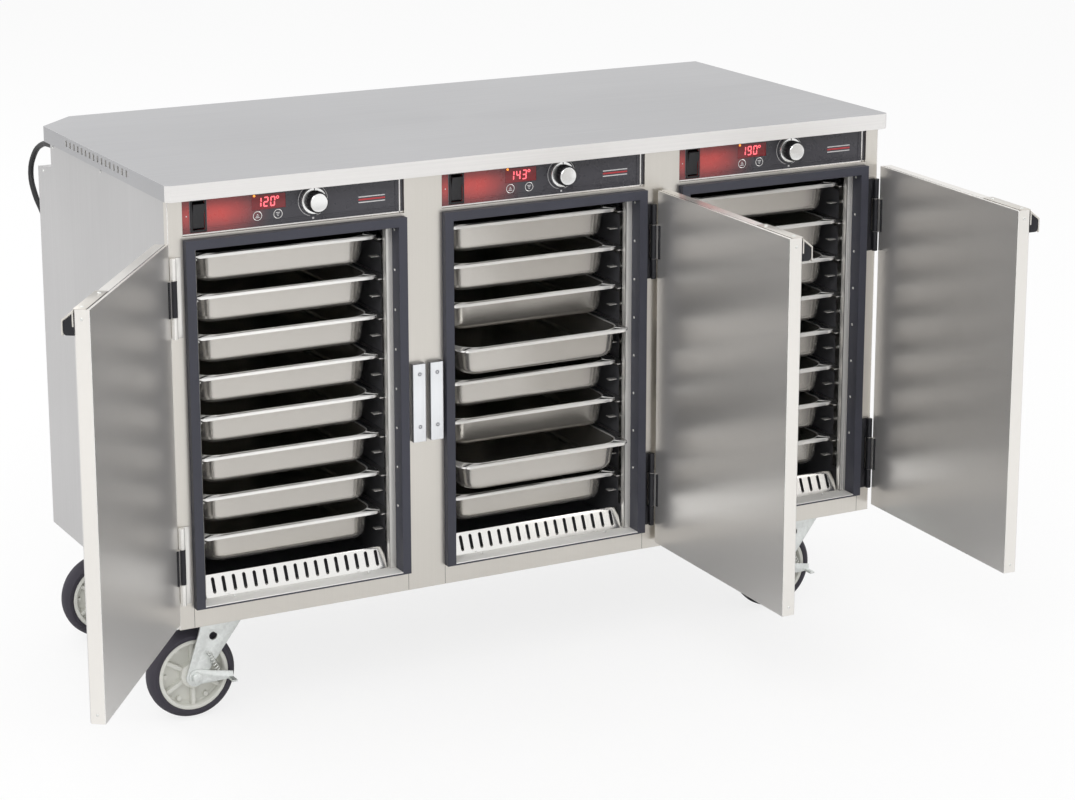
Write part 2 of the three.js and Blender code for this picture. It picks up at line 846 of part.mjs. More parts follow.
// A door is built shut with its pin at the origin and its free edge towards +X.
function doorGeometry() {
  const shell = frontal(
    outline(rectangle(doorInset, doorReach, doorBottom, doorTop)),
    pinOuter,
    pinInner,
  );
  const bevel = doorBevel * Math.SQRT2;
  const bevels = [[doorInset, doorBottom], [doorReach, doorBottom], [doorInset, doorTop], [doorReach, doorTop]]
    .flatMap(([x, z]) => [
      block(-bevel / 2, bevel / 2, -bevel / 2, bevel / 2, doorBottom - overrun, doorTop + overrun)
        .rotateZ(quarter / 2)
        .translate(x, pinOuter, 0),
      block(doorInset - overrun, doorReach + overrun, -bevel / 2, bevel / 2, -bevel / 2, bevel / 2)
        .rotateX(quarter / 2)
        .translate(0, pinOuter, z),
    ]);
  const hollow = block(
    doorInset + doorSkin + doorBevel, doorReach - doorSkin - doorBevel,
    pinOuter + doorSkin, pinInner - doorSkin,
    doorBottom + doorSkin + doorBevel, doorTop - doorSkin - doorBevel,
  );
  const middle = (doorInset + doorReach) / 2;
  const weep = block(
    middle - weepWidth / 2, middle + weepWidth / 2,
    (pinOuter + pinInner - weepDepth) / 2, (pinOuter + pinInner + weepDepth) / 2,
    doorBottom - overrun, doorBottom + doorSkin + doorBevel + gap,
  );
  const lugs = [];
  const bores = [];
  for (const bottom of hingeBottoms) {
    const low = bottom + knuckleEnd + gap;
    const high = bottom + hingeHeight - knuckleEnd - gap;
    lugs.push(bar(knuckleRadius, low, high, pinSides));
    lugs.push(block(0, lugWidth, pinInner - lap, -pinRadius, low, high));
    bores.push(bar(pinRadius + gap, low - overrun, high + overrun, pinSides));
  }
  return cut(join(cut(shell, ...bevels, hollow, weep), ...lugs), ...bores);
}

function pullGeometry() {
  const near = -gap;
  const far = -pullReach;
  const slope = (pullTop - pullKnee) / pullReach;
  const drop = pullSheet * Math.sqrt(1 + slope * slope);
  const profile = [
    [near, pullTop],
    [far, pullKnee],
    [far, pullLip + pullSheet],
    [far + pullSheet / 2, pullLip],
    [far + pullSheet, pullLip + pullSheet],
    [far + pullSheet, pullKnee - drop + pullSheet * slope],
    [near - pullSheet, pullTop - drop - pullSheet * slope],
    [near - pullSheet, pullFoot],
    [near, pullFoot],
  ];
  return lateral(outline(profile.reverse()), doorReach - pullLength, doorReach).translate(0, pinOuter, 0);
}

function hingeGeometry() {
  // The leaf on the face frame, which the shut door covers, with its pin.
  const leafBack = pinForward - gap;
  const leafFront = leafBack - leafSheet;
  const plate = block(0, leafWidth, leafFront, leafBack, 0, hingeHeight);
  const relief = block(
    -overrun, leafRelief,
    leafFront - overrun, leafBack + overrun,
    knuckleEnd, hingeHeight - knuckleEnd,
  );
  const knuckles = [[0, knuckleEnd], [hingeHeight - knuckleEnd, hingeHeight]]
    .map(([low, high]) => bar(knuckleRadius, low, high, pinSides));
  return join(cut(plate, relief), ...knuckles, bar(pinRadius, lap, hingeHeight - lap, pinSides));
}

const doorPins = [-outerPin, middlePin, outerPin];
const doorSigns = [1, -1, -1]; // which way the free edge lies from the pin
bayNames.forEach((name, k) => {
  const sign = doorSigns[k];
  const turn = -sign * openAngles[k] * degree;
  const handed = (geometry) => (sign > 0 ? geometry : mirrored(geometry));
  const leaf = new THREE.Group();
  leaf.position.set(doorPins[k], pinY, 0);
  leaf.rotation.z = turn;
  group.add(leaf);
  place(`door_${name}`, handed(doorGeometry()), steel, leaf);
  place(`door_pull_${name}`, handed(toGeometry(toSolid(pullGeometry()))), steel, leaf);
  hingeBottoms.forEach((bottom, h) => {
    const hinge = place(`hinge_${name}_${hingeNames[h]}`, handed(hingeGeometry()), blackSteel);
    hinge.position.set(doorPins[k], pinY, bottom);
  });
});

// Each bay
bayNames.forEach((name, k) => {
  const bay = new THREE.Group();
  bay.position.x = bayCentres[k];
  group.add(bay);
  place(`lining_${name}`, liningGeometry(), innerSteel, bay);
  place(`rack_${name}_right`, rackGeometry(), steel, bay);
  place(`rack_${name}_left`, mirrored(rackGeometry()), steel, bay);
  place(`gasket_${name}`, gasketGeometry(), gasketRubber, bay);
  place(`air_strip_${name}`, airStripGeometry(), steel, bay);
  place(`fascia_${name}`, fasciaGeometry(), fasciaPaint, bay);
  const rocker = place(`rocker_${name}`, rockerGeometry(), blackPlastic, bay);
  rocker.position.set(-bayHalf + rockerX, fasciaFront, rockerZ);
  const knob = place(`knob_${name}`, knobGeometry(), blackPlastic, bay);
  knob.position.set(-bayHalf + knobX, fasciaFront, knobZ);
});

// Magnet bars
barPlaces.forEach(([x, width], k) => {
  const front = face - gasketProud;
  const profile = outline([
    [x, face - gap],
    [x, front + barBevel],
    [x + barBevel, front],
    [x + width - barBevel, front],
    [x + width, front + barBevel],
    [x + width, face - gap],
  ]);
  place(`magnet_bar_${bayNames[k]}`, upright(profile, barBottom, barBottom + barHeight), steel);
});

// Cord
const gland = turned([
  [0, -glandShankLength],
  [glandShank, -glandShankLength],
  [glandShank, gap],
  [glandFlange, gap],
  [glandFlange, glandFlangeHeight],
  [glandShank, glandFlangeHeight + lap],
  [glandTip, glandLength],
  [0, glandLength],
].reverse(), pinSides).rotateX(-quarter);
place("cord_gland", gland, blackPlastic).position.set(glandX, upperBack, glandZ);

function circleShape(radius, sides) {
  const points = arcPoints(0, 0, radius, 0, 2 * Math.PI, sides).slice(0, sides);
  return outline(points);
}

function tube(points, radius, sides, steps) {
  const curve = new THREE.CatmullRomCurve3(points.map((p) => new THREE.Vector3(...p)), false, "centripetal");
  curve.arcLengthDivisions = 10 * steps;
  const solid = new THREE.ExtrudeGeometry(circleShape(radius, sides), {
    steps,
    bevelEnabled: false,
    extrudePath: curve,
  });
  return { solid, length: curve.getLength() };
}

const layerLow = floor + cordRadius;
const coilLength = 2 * coilTurns + 0.5;
const coilInner = coilOuter - coilStep * coilTurns;

// A point of the coil after a number of turns: inwards below, half a turn up, outwards above.
function coilPoint(turns) {
  const climbing = THREE.MathUtils.smoothstep(turns, coilTurns, coilTurns + 0.5);
  const inward = Math.min(turns, coilTurns);
  const outward = Math.max(turns - coilTurns - 0.5, 0);
  const radius = coilOuter - coilStep * (inward - outward);
  const angle = 2 * Math.PI * turns - quarter;
  return [
    coilX + radius * Math.cos(angle),
    coilY + radius * Math.sin(angle),
    layerLow + coilLift * climbing,
  ];
}

const coilSteps = coilLength * coilStepsPerTurn;
const coilPoints = [[coilX - coilLead, coilY - coilOuter, layerLow]];
for (let k = 0; k <= coilSteps; k += 1) {
  coilPoints.push(coilPoint(k / coilStepsPerTurn));
}
const tailY = coilPoints[coilPoints.length - 1][1];
for (const share of [0.25, 0.6, 1]) {
  coilPoints.push([coilX - coilTail * share, tailY, layerLow + coilLift]);
}

// The least gap between turns, measured between points that lie apart along the cord.
function leastGap(points, radius, apart) {
  let least = Infinity;
  for (let a = 0; a < points.length; a += 1) {
    for (let b = a + apart; b < points.length; b += 1) {
      least = Math.min(least, Math.hypot(...points[a].map((v, axis) => v - points[b][axis])));
    }
  }
  return least - 2 * radius;
}

const coil = tube(coilPoints, cordRadius, coilSides, Math.round(coilSteps) + 8);
const fine = [];
for (let k = 0; k <= 10 * coilSteps; k += 1) {
  fine.push(coilPoint(k / (10 * coilStepsPerTurn)));
}
console.log(`coil: least gap ${leastGap(fine, cordRadius, 5 * coilStepsPerTurn).toFixed(2)} mm, length ${coil.length.toFixed(0)} mm`);
place("cord_coil", toGeometry(toSolid(coil.solid)), blackPlastic);

const cordStart = upperBack + glandLength + gap;
const cordEnd = coilX - coilLead - gap;
const cord = tube([
  [glandX, cordStart, glandZ],
  ...cordRoute,
  [cordEnd - 2 * cordRadius, coilY - coilOuter, layerLow],
  [cordEnd, coilY - coilOuter, layerLow],
], cordRadius, cordSides, cordSteps);
console.log(`free cord: length ${cord.length.toFixed(0)} mm`);
place("power_cord", toGeometry(toSolid(cord.solid)), blackPlastic);

function plugGeometry() {
  const body = turned([
    [0, 0],
    [plugNeck, 0],
    [plugRadius * 0.75, plugLength * 0.4],
    [plugRadius, plugLength * 0.65],
    [plugRadius, plugLength + plugFace],
    [0, plugLength + plugFace],
  ].reverse(), 24);
  const front = plugLength + plugFace;
  const blades = [-1, 1].map((side) => block(
    (side * bladeSpacing) / 2 - bladeSheet / 2, (side * bladeSpacing) / 2 + bladeSheet / 2,
    -bladeWidth / 2, bladeWidth / 2,
    front - lap, front + bladeLength,
  ));
  const ground = bar(groundRadius, front - lap, front + bladeLength, pinSides).translate(0, groundDrop, 0);
  return join(body, ...blades, ground);
}

const plug = place("power_plug", plugGeometry(), blackPlastic);
plug.rotation.y = -quarter;
plug.position.set(coilX - coilTail - gap, tailY, layerLow + coilLift);

export default group;
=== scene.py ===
"""A three-bay heated holding cabinet on casters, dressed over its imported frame.

Sizes are given in millimetres and turned to metres as the meshes are made.
"""
import logging
import math
from dataclasses import dataclass, field, replace
from enum import Enum
from typing import Callable, Iterable, Sequence

import bpy
from mathutils import Matrix, Vector


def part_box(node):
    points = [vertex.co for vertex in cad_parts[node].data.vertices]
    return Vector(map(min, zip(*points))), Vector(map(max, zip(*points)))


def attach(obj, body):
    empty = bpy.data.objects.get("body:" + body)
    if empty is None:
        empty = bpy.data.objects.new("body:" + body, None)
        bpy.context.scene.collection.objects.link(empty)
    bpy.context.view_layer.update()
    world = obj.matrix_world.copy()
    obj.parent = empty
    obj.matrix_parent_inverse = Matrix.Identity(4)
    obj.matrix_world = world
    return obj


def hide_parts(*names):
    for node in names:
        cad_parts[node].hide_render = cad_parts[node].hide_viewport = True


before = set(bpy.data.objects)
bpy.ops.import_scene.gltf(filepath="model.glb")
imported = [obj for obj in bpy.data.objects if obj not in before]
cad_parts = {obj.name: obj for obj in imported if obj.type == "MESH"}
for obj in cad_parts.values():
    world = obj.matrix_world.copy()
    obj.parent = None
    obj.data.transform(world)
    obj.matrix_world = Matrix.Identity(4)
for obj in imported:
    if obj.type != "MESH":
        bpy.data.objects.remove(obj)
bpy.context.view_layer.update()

log = logging.getLogger("cabinet")

MM = 0.001
ROUND = 2 * math.pi
UP = (0, 0, 1)
FORWARD = (0, -1, 0)
BACKWARD = (0, 1, 0)
WHITE = (1, 1, 1, 1)
CABINET = "cabinet"
Point = Sequence[float]
Colour = tuple[float, float, float, float]
Piece = bpy.types.Object
Socket = bpy.types.NodeSocket


def metres(point: Point) -> Vector:
    """A point in millimetres as a vector in metres."""
    return Vector(point) * MM


def shifted(point: Point) -> Matrix:
    """The matrix that moves the origin to a point in millimetres."""
    return Matrix.Translation(metres(point))


def shade(code: str) -> Colour:
    """The linear colour of a screen colour of six hexadecimal digits."""
    parts = [int(code[k:k + 2], 16) / 255 for k in (0, 2, 4)]
    line = [v / 12.92 if v <= 0.04045 else ((v + 0.055) / 1.055) ** 2.4 for v in parts]
    return (line[0], line[1], line[2], 1.0)


def scaled(colour: Colour, factor: float) -> Colour:
    """A colour made lighter or darker."""
    return (colour[0] * factor, colour[1] * factor, colour[2] * factor, 1.0)


# Finishes


class NodeSheet:
    """The shader nodes of a material or of the world, made anew."""

    def __init__(self, owner: bpy.types.ID, output: str = "OutputMaterial") -> None:
        """Empty the owner's nodes and set its output."""
        owner.use_nodes = True
        self.owner = owner
        self.tree = owner.node_tree
        self.tree.nodes.clear()
        self.surface = self.add(output, {}).inputs["Surface"]

    def feed(self, socket: Socket, value: object) -> None:
        """Link an input to an output, or give it a value."""
        if isinstance(value, bpy.types.NodeSocket):
            self.tree.links.new(value, socket)
        else:
            socket.default_value = value

    def add(self, kind: str, sockets: dict[int | str, object], **settings: object) -> bpy.types.Node:
        """Add a shader node.

        Args:
            kind: Its kind.
            sockets: Values or links for its inputs, by number or name.
            settings: Its own settings.

        Returns:
            The node.
        """
        node = self.tree.nodes.new("ShaderNode" + kind)
        for name, value in settings.items():
            setattr(node, name, value)
        for key, value in sockets.items():
            self.feed(node.inputs[key], value)
        return node

    def mapped(self, scale: Point, origin: Point = (0, 0, 0)) -> Socket:
        """Object coordinates in metres, moved and then scaled.

        Args:
            scale: Factor along each axis.
            origin: The place in millimetres that becomes the origin.

        Returns:
            The mapped vector.
        """
        place = self.add("TexCoord", {}).outputs["Object"]
        if not any(origin):
            return self.add("Mapping", {"Vector": place, "Scale": scale}).outputs["Vector"]
        sockets = {"Vector": place, "Location": metres(origin), "Scale": [1 / s for s in scale]}
        return self.add("Mapping", sockets, vector_type="TEXTURE").outputs["Vector"]

    def noise(self, scale: Point, detail: float = 3.0) -> Socket:
        """Noise stretched by a scale per axis."""
        sockets = {"Vector": self.mapped(scale), "Scale": 1.0, "Detail": detail}
        return self.add("TexNoise", sockets).outputs["Fac"]

    def ranged(self, source: Socket, limits: Point, results: Point, easing: str = "LINEAR") -> Socket:
        """A value carried from one range to another.

        Args:
            source: The value.
            limits: Its two limits.
            results: What they become.
            easing: How it runs between the limits.

        Returns:
            The carried value.
        """
        names = ("Value", "From Min", "From Max", "To Min", "To Max")
        sockets = dict(zip(names, (source, *limits, *results)))
        return self.add("MapRange", sockets, interpolation_type=easing).outputs["Result"]

    def worked(self, operation: str, *values: object) -> Socket:
        """The result of a math node on values or links."""
        return self.add("Math", dict(enumerate(values)), operation=operation).outputs[0]

    def mixed(self, factor: Socket, first: object, second: object) -> Socket:
        """Two colours or links to colours, mixed by a factor."""
        return self.add("Mix", {0: factor, 6: first, 7: second}, data_type="RGBA").outputs[2]

    def facing(self, axis: Point) -> Socket:
        """One on faces that look along an axis of the piece, either way, and zero elsewhere: the mask of
        painted light and shade.
        """
        normal = self.add("TexCoord", {}).outputs["Normal"]
        dot = self.add("VectorMath", {0: normal, 1: axis}, operation="DOT_PRODUCT").outputs["Value"]
        return self.ranged(self.worked("ABSOLUTE", dot), (0.5, 0.7), (0, 1))

    def relief(self, height: Socket, depth: float, strength: float, edge: float) -> Socket:
        """The normal of a bumped surface whose edges look rounded.

        Args:
            height: The pattern.
            depth: Its depth in millimetres.
            strength: Its share.
            edge: Radius of the edges in millimetres.

        Returns:
            The normal.
        """
        sockets = {"Strength": strength, "Distance": depth * MM, "Height": height}
        if edge > 0:
            sockets["Normal"] = self.add("Bevel", {"Radius": edge * MM}, samples=4).outputs["Normal"]
        return self.add("Bump", sockets).outputs["Normal"]


@dataclass(frozen=True)
class Finish:
    """A surface, whose material is made where it is first used."""

    name: str
    colour: str

    def material(self) -> bpy.types.Material:
        """Find or make the material."""
        known = bpy.data.materials.get(self.name)
        if known:
            return known
        sheet = NodeSheet(bpy.data.materials.new(self.name))
        look = self.look(sheet, shade(self.colour))
        sheet.feed(sheet.surface, sheet.add("BsdfPrincipled", look).outputs[0])
        return sheet.owner

    def look(self, sheet: NodeSheet, base: Colour) -> dict[str, object]:
        """What the shader's inputs get.

        Args:
            sheet: The material's nodes.
            base: The surface's own colour.

        Returns:
            Values and links by the input's name.
        """
        raise NotImplementedError


class Grain(Enum):
    """Which way sheet steel was brushed, as pattern scales per axis."""

    ALONG_X = (4.0, 520.0, 520.0)
    ALONG_Y = (520.0, 4.0, 520.0)
    UPRIGHT = (520.0, 520.0, 4.0)
    SATIN = (260.0, 260.0, 260.0)


@dataclass(frozen=True)
class BrushedSteel(Finish):
    """Stainless sheet with a brushed grain, faint clouding and, if named, a second tone on the faces along
    one axis as painted light and shade.
    """

    roughness: float
    grain: Grain
    contrast: float = 0.05
    metallic: float = 1.0
    edge: float = 0.7
    scoring: float = 0.1
    # A second colour for the faces along the axis: painted light and shade, set against the base colour.
    front: str = ""
    axis: Point = BACKWARD

    def look(self, sheet: NodeSheet, base: Colour) -> dict[str, object]:
        """Cloud the colour, paint light and shade on the faces along the axis if named, then score it along
        the grain.
        """
        streak = sheet.noise(self.grain.value, 4.0)
        cloud = sheet.ranged(sheet.noise((3.1, 3.1, 2.3), 2.0), (0.3, 0.7), (0, 1))
        tone = sheet.mixed(cloud, scaled(base, 1 - self.contrast), scaled(base, 1 + self.contrast))
        # Painted light and shade: faces along the axis take the second colour.
        if self.front:
            tone = sheet.mixed(sheet.facing(self.axis), tone, shade(self.front))
        score = sheet.ranged(streak, (0.25, 0.75), (0, self.scoring))
        spread = (self.roughness - self.scoring / 2, self.roughness + self.scoring / 2)
        return {"Base Color": sheet.mixed(score, tone, scaled(base, 0.75)),
                "Roughness": sheet.ranged(streak, (0.2, 0.8), spread),
                "Metallic": self.metallic, "Anisotropic": 0.2,
                "Normal": sheet.relief(streak, 0.02, self.scoring, self.edge)}


@dataclass(frozen=True)
class ZincPlate(Finish):
    """Pressed steel with a bright zinc coat, mottled by its crystals."""

    roughness: float = 0.38

    def look(self, sheet: NodeSheet, base: Colour) -> dict[str, object]:
        """Mottle the colour and the roughness by flakes."""
        flake = sheet.add("TexVoronoi", {"Scale": 1.0, "Vector": sheet.mapped((230, 230, 230))})
        tone = sheet.ranged(flake.outputs["Color"], (0, 1), (0, 1))
        return {"Base Color": sheet.mixed(tone, scaled(base, 0.9), scaled(base, 1.06)),
                "Roughness": sheet.ranged(tone, (0, 1), (self.roughness - 0.05, self.roughness + 0.08)),
                "Metallic": 0.9, "Normal": sheet.relief(sheet.noise((90, 90, 90)), 0.1, 0.2, 0.8)}


@dataclass(frozen=True)
class Moulding(Finish):
    """Moulded plastic, rubber or paint with a fine tooth and a little dust."""

    roughness: float
    tooth: float = 700.0
    depth: float = 0.04
    lift: float = 1.25
    edge: float = 0.5

    def look(self, sheet: NodeSheet, base: Colour) -> dict[str, object]:
        """Lift the colour and the roughness where dust lies."""
        dust = sheet.noise((14, 14, 9))
        cover = sheet.ranged(dust, (0.35, 0.7), (0, 1))
        spread = (self.roughness - 0.05, self.roughness + 0.06)
        return {"Base Color": sheet.mixed(cover, base, scaled(base, self.lift)),
                "Roughness": sheet.ranged(dust, (0.3, 0.7), spread),
                "Normal": sheet.relief(sheet.noise((self.tooth,) * 3, 2.0), self.depth, 0.35, self.edge)}


@dataclass(frozen=True)
class Glow(Finish):
    """A lit display segment or lamp."""

    strength: float

    def look(self, sheet: NodeSheet, base: Colour) -> dict[str, object]:
        """Shine in the colour, with a fine grain."""
        tone = sheet.mixed(sheet.noise((900, 900, 900), 1.0), scaled(base, 0.85), base)
        return {"Base Color": tone, "Roughness": 0.4,
                "Emission Color": tone, "Emission Strength": self.strength}


@dataclass(frozen=True)
class FasciaPrint(Finish):
    """Charcoal overlay of a control panel, printed red towards its left."""

    origin: Point
    red: str = "CC504C"
    haze: str = "55545A"

    def look(self, sheet: NodeSheet, base: Colour) -> dict[str, object]:
        """Fade the red in and out across the panel and over its height, in millimetres."""
        axes = sheet.add("SeparateXYZ", {0: sheet.mapped((1000, 1000, 1000), self.origin)})
        across, height = axes.outputs[0], axes.outputs[2]
        eased = [sheet.ranged(source, limits, results, "SMOOTHSTEP") for source, limits, results in (
            (across, (0, 55), (0.72, 1)), (across, (62, 155), (1, 0)),
            (height, (36, 64), (1, 0.35)), (height, (0, 34), (0.35, 1)))]
        level, upright = sheet.worked("MULTIPLY", *eased[:2]), sheet.worked("MULTIPLY", *eased[2:])
        printed = sheet.mixed(sheet.worked("MULTIPLY", level, upright), base, shade(self.red))
        dust = sheet.noise((60, 60, 60))
        cover = sheet.ranged(dust, (0.4, 0.8), (0, 0.15))
        return {"Base Color": sheet.mixed(cover, printed, shade(self.haze)),
                "Roughness": sheet.ranged(dust, (0.3, 0.7), (0.24, 0.34)),
                "Normal": sheet.relief(sheet.noise((900, 900, 900), 1.0), 0.02, 0.2, 0.4)}


# Painted light: the worktop's front and back edges are lighter (EDEBE9) than its top.
WORKTOP = BrushedSteel("worktop_brushed_painted_light", "AFAFB1", 0.34, Grain.ALONG_X, 0.03, front="EDEBE9")
SIDE = BrushedSteel("side_brushed", "C0BFBF", 0.36, Grain.UPRIGHT, 0.04)
FRAME = BrushedSteel("frame_brushed", "D6D2CB", 0.33, Grain.UPRIGHT, 0.03)
# Painted light and shade: the doors' edges are lighter (E6E3DE) than their big faces (DAD8D6).
DOOR = BrushedSteel("door_brushed", "E6E3DE", 0.29, Grain.UPRIGHT, 0.03, 0.76, scoring=0.003, front="DAD8D6")
BASE = BrushedSteel("base_folded", "A9A8A6", 0.42, Grain.ALONG_X)
# Painted shade: the linings' dark grey stands in for the shade inside the bays.
LINING = BrushedSteel("lining_painted_shade", "67676B", 0.45, Grain.ALONG_Y, 0.08, 0.35)
RACK = BrushedSteel("rack_folded", "C9C8C6", 0.3, Grain.ALONG_Y)
# Painted highlight: near-white steel for the corner beads, the rack posts and tabs and the left door's hinge
# leaves.
JAMB = BrushedSteel("jamb_painted_highlight", "EDEBE7", 0.25, Grain.UPRIGHT, 0.02, 0.5)
BRIGHT = BrushedSteel("bright_polished", "EEEDEA", 0.2, Grain.ALONG_X, 0.02)
# Painted shade: the magnet bars' sides are dark (5A5B60) and their front and back faces light (EFF1F4).
BAR = BrushedSteel("bar_polished_painted_shade", "5A5B60", 0.24, Grain.UPRIGHT, 0.02, 0.6, front="EFF1F4")
PAN = BrushedSteel("pan_satin", "CFCBC5", 0.22, Grain.SATIN, 0.04, 0.88, 0, 0.04)
# Painted highlight: the pans' rims are near white, lighter than the same steel of the pan.
RIM = BrushedSteel("pan_rim_polished", "F6F5F2", 0.16, Grain.SATIN, 0.02, 0.6, 0, 0.03)
SHADED = BrushedSteel("trim_shaded", "85858A", 0.3, Grain.ALONG_X, 0.02, edge=0.2)
# Painted light: the sill's near-white colour brightens a surface in the shade under the bay.
SILL = BrushedSteel("sill_satin_painted_light", "F4F3F0", 0.6, Grain.ALONG_X, 0.02, 0.4)
TRIM = BrushedSteel("trim_bright", "E2E0DE", 0.22, Grain.ALONG_X, 0.02, edge=0.2)
CAP = BrushedSteel("cap_spun", "F0F0EF", 0.18, Grain.SATIN, 0.02, edge=0.2)
BLACK_STEEL = BrushedSteel("hinge_black", "26262A", 0.4, Grain.SATIN, 0.1, 0.5)
ZINC = ZincPlate("zinc_plate", "E4E7E5")
BOLT = ZincPlate("bolt_plate", "E2E3E0", 0.28)
GASKET = Moulding("gasket_rubber_finish", "33343E", 0.55, 500, 0.06)
TYRE = Moulding("tyre_rubber_finish", "322F38", 0.7, 600, 0.08)
HUB = Moulding("hub_nylon", "D6D6CF", 0.45, 400, 0.03, 1.05)
PLASTIC = Moulding("black_moulded", "17171A", 0.42)
CORD = Moulding("cord_jacket", "121214", 0.5, 900, 0.03, 1.5, 0)
SEAM = Moulding("seam_shadow", "1B1A1C", 0.8, edge=0)
GLASS = Moulding("display_red", "7C2429", 0.15, 900, 0.01, 1.15, 0)
SCREEN_PRINT = Moulding("silver_print", "D2D1D1", 0.4, 900, 0.01, 1.05, 0)
RED_PRINT = Moulding("red_print", "B5343A", 0.4, 900, 0.01, 1.05, 0)
DIGITS = Glow("digits_lit", "FF6670", 1.5)
AMBER = Glow("lamp_amber", "FF9A3A", 1.4)


# Modelling with operators, in millimetres


def pick(piece: Piece) -> None:
    """Leave one object selected and active."""
    bpy.ops.object.select_all(action="DESELECT")
    piece.select_set(True)
    bpy.context.view_layer.objects.active = piece


def named(name: str) -> Piece:
    """Name the object that an operator has just added, with its place in its mesh."""
    piece = bpy.context.active_object
    piece.name = piece.data.name = name
    pick(piece)
    bpy.ops.object.transform_apply(location=True, rotation=True, scale=True)
    return piece


def edited(piece: Piece, work: Callable[[], object]) -> Piece:
    """Run operators in edit mode on a piece.

    Args:
        piece: The object.
        work: What is done, with everything selected.

    Returns:
        The object.
    """
    pick(piece)
    bpy.ops.object.mode_set(mode="EDIT")
    bpy.ops.mesh.select_all(action="SELECT")
    work()
    bpy.ops.object.mode_set(mode="OBJECT")
    return piece


def tidied(merge: float = 0.0) -> None:
    """In edit mode, select everything, merge near points and turn all faces outwards."""
    bpy.ops.mesh.select_all(action="SELECT")
    if merge:
        bpy.ops.mesh.remove_doubles(threshold=merge)
    bpy.ops.mesh.normals_make_consistent(inside=False)


def smoothed(piece: Piece, degrees: float = 35) -> Piece:
    """Shade smooth, with the edges beyond an angle left sharp."""
    pick(piece)
    bpy.ops.object.shade_smooth_by_angle(angle=math.radians(degrees))
    return piece


def block(name: str, first: Point, second: Point, bevel: float = 0.0, segments: int = 2) -> Piece:
    """A box with its edges bevelled.

    Args:
        name: The piece's name.
        first: Any corner.
        second: The corner across from it.
        bevel: Width of the bevel.
        segments: Its steps.

    Returns:
        The box.
    """
    bpy.ops.object.select_all(action="DESELECT")
    a, b = metres(first), metres(second)
    bpy.ops.mesh.primitive_cube_add(size=1, location=(a + b) / 2, scale=[abs(v) for v in b - a])
    piece = named(name)
    if bevel:
        edited(piece, lambda: bpy.ops.mesh.bevel(offset=bevel * MM, segments=segments, affect="EDGES"))
        smoothed(piece)
    return piece


def loop(name: str, points: Sequence[Point], filled: bool) -> Piece:
    """A circle primitive whose points are moved onto an outline.

    Args:
        name: The piece's name.
        points: The outline's corners.
        filled: Close it with one face.

    Returns:
        The flat outline.
    """
    bpy.ops.object.select_all(action="DESELECT")
    bpy.ops.mesh.primitive_circle_add(vertices=len(points), fill_type="NGON" if filled else "NOTHING")
    piece = named(name)
    for vertex, point in zip(piece.data.vertices, points):
        vertex.co = metres(point)
    return piece


def plate(name: str, points: Sequence[Point], thick: Point, bevel: float) -> Piece:
    """An outline drawn out along a vector.

    Args:
        name: The piece's name.
        points: The outline's corners.
        thick: How far and which way it is drawn out.
        bevel: Width of the bevel on its edges.

    Returns:
        The plate.
    """

    def work() -> None:
        """Draw the outline out and bevel it."""
        bpy.ops.mesh.extrude_region_move(TRANSFORM_OT_translate={"value": metres(thick)})
        tidied()
        bpy.ops.mesh.bevel(offset=bevel * MM, segments=2, affect="EDGES")

    return smoothed(edited(loop(name, points, True), work))


def turned(name: str, profile: Sequence[tuple[float, float]], at: Point = (0, 0, 0), facing: Point = UP,
           steps: int = 48) -> Piece:
    """A closed profile spun round an axis.

    Args:
        name: The piece's name.
        profile: Radius and height of its corners.
        at: Where the height is zero.
        facing: The axis.
        steps: Steps of the spin.

    Returns:
        The turned piece.
    """

    def work() -> None:
        """Spin the profile and close it."""
        bpy.ops.mesh.spin(steps=steps, angle=ROUND, center=(0, 0, 0), axis=UP)
        tidied(1e-6)

    piece = edited(loop(name, [(r, 0, h) for r, h in profile], False), work)
    turn = Vector(UP).rotation_difference(Vector(facing)).to_matrix().to_4x4()
    piece.data.transform(shifted(at) @ turn)
    return smoothed(piece)


def copied(piece: Piece, name: str, matrix: Matrix) -> Piece:
    """A copy with its own mesh, moved by a matrix in metres."""
    twin = piece.copy()
    twin.data = piece.data.copy()
    twin.name = twin.data.name = name
    bpy.context.scene.collection.objects.link(twin)
    twin.data.transform(matrix)
    return twin


def joined(name: str, pieces: Sequence[Piece]) -> Piece:
    """One or more objects made one."""
    bpy.ops.object.select_all(action="DESELECT")
    for piece in pieces:
        piece.select_set(True)
    whole = bpy.context.view_layer.objects.active = pieces[0]
    if len(pieces) > 1:
        bpy.ops.object.join()
    whole.name = whole.data.name = name
    return whole


def modified(piece: Piece, kind: str, **settings: object) -> Piece:
    """Add a modifier and apply it."""
    pick(piece)
    modifier = piece.modifiers.new(kind.title(), kind)
    for key, value in settings.items():
        setattr(modifier, key, value)
    bpy.ops.object.modifier_apply(modifier=modifier.name)
    return piece


def cut(piece: Piece, cutter: Piece, **settings: object) -> Piece:
    """Take a solid away from a piece and delete it."""
    modified(piece, "BOOLEAN", object=cutter, operation="DIFFERENCE", solver="EXACT", **settings)
    bpy.data.objects.remove(cutter)
    return piece


def bevelled(piece: Piece, width: float, segments: int, degrees: float) -> Piece:
    """Round the edges that are sharper than an angle."""
    return modified(piece, "BEVEL", width=width * MM, segments=segments, limit_method="ANGLE",
                    angle_limit=math.radians(degrees), use_clamp_overlap=True)


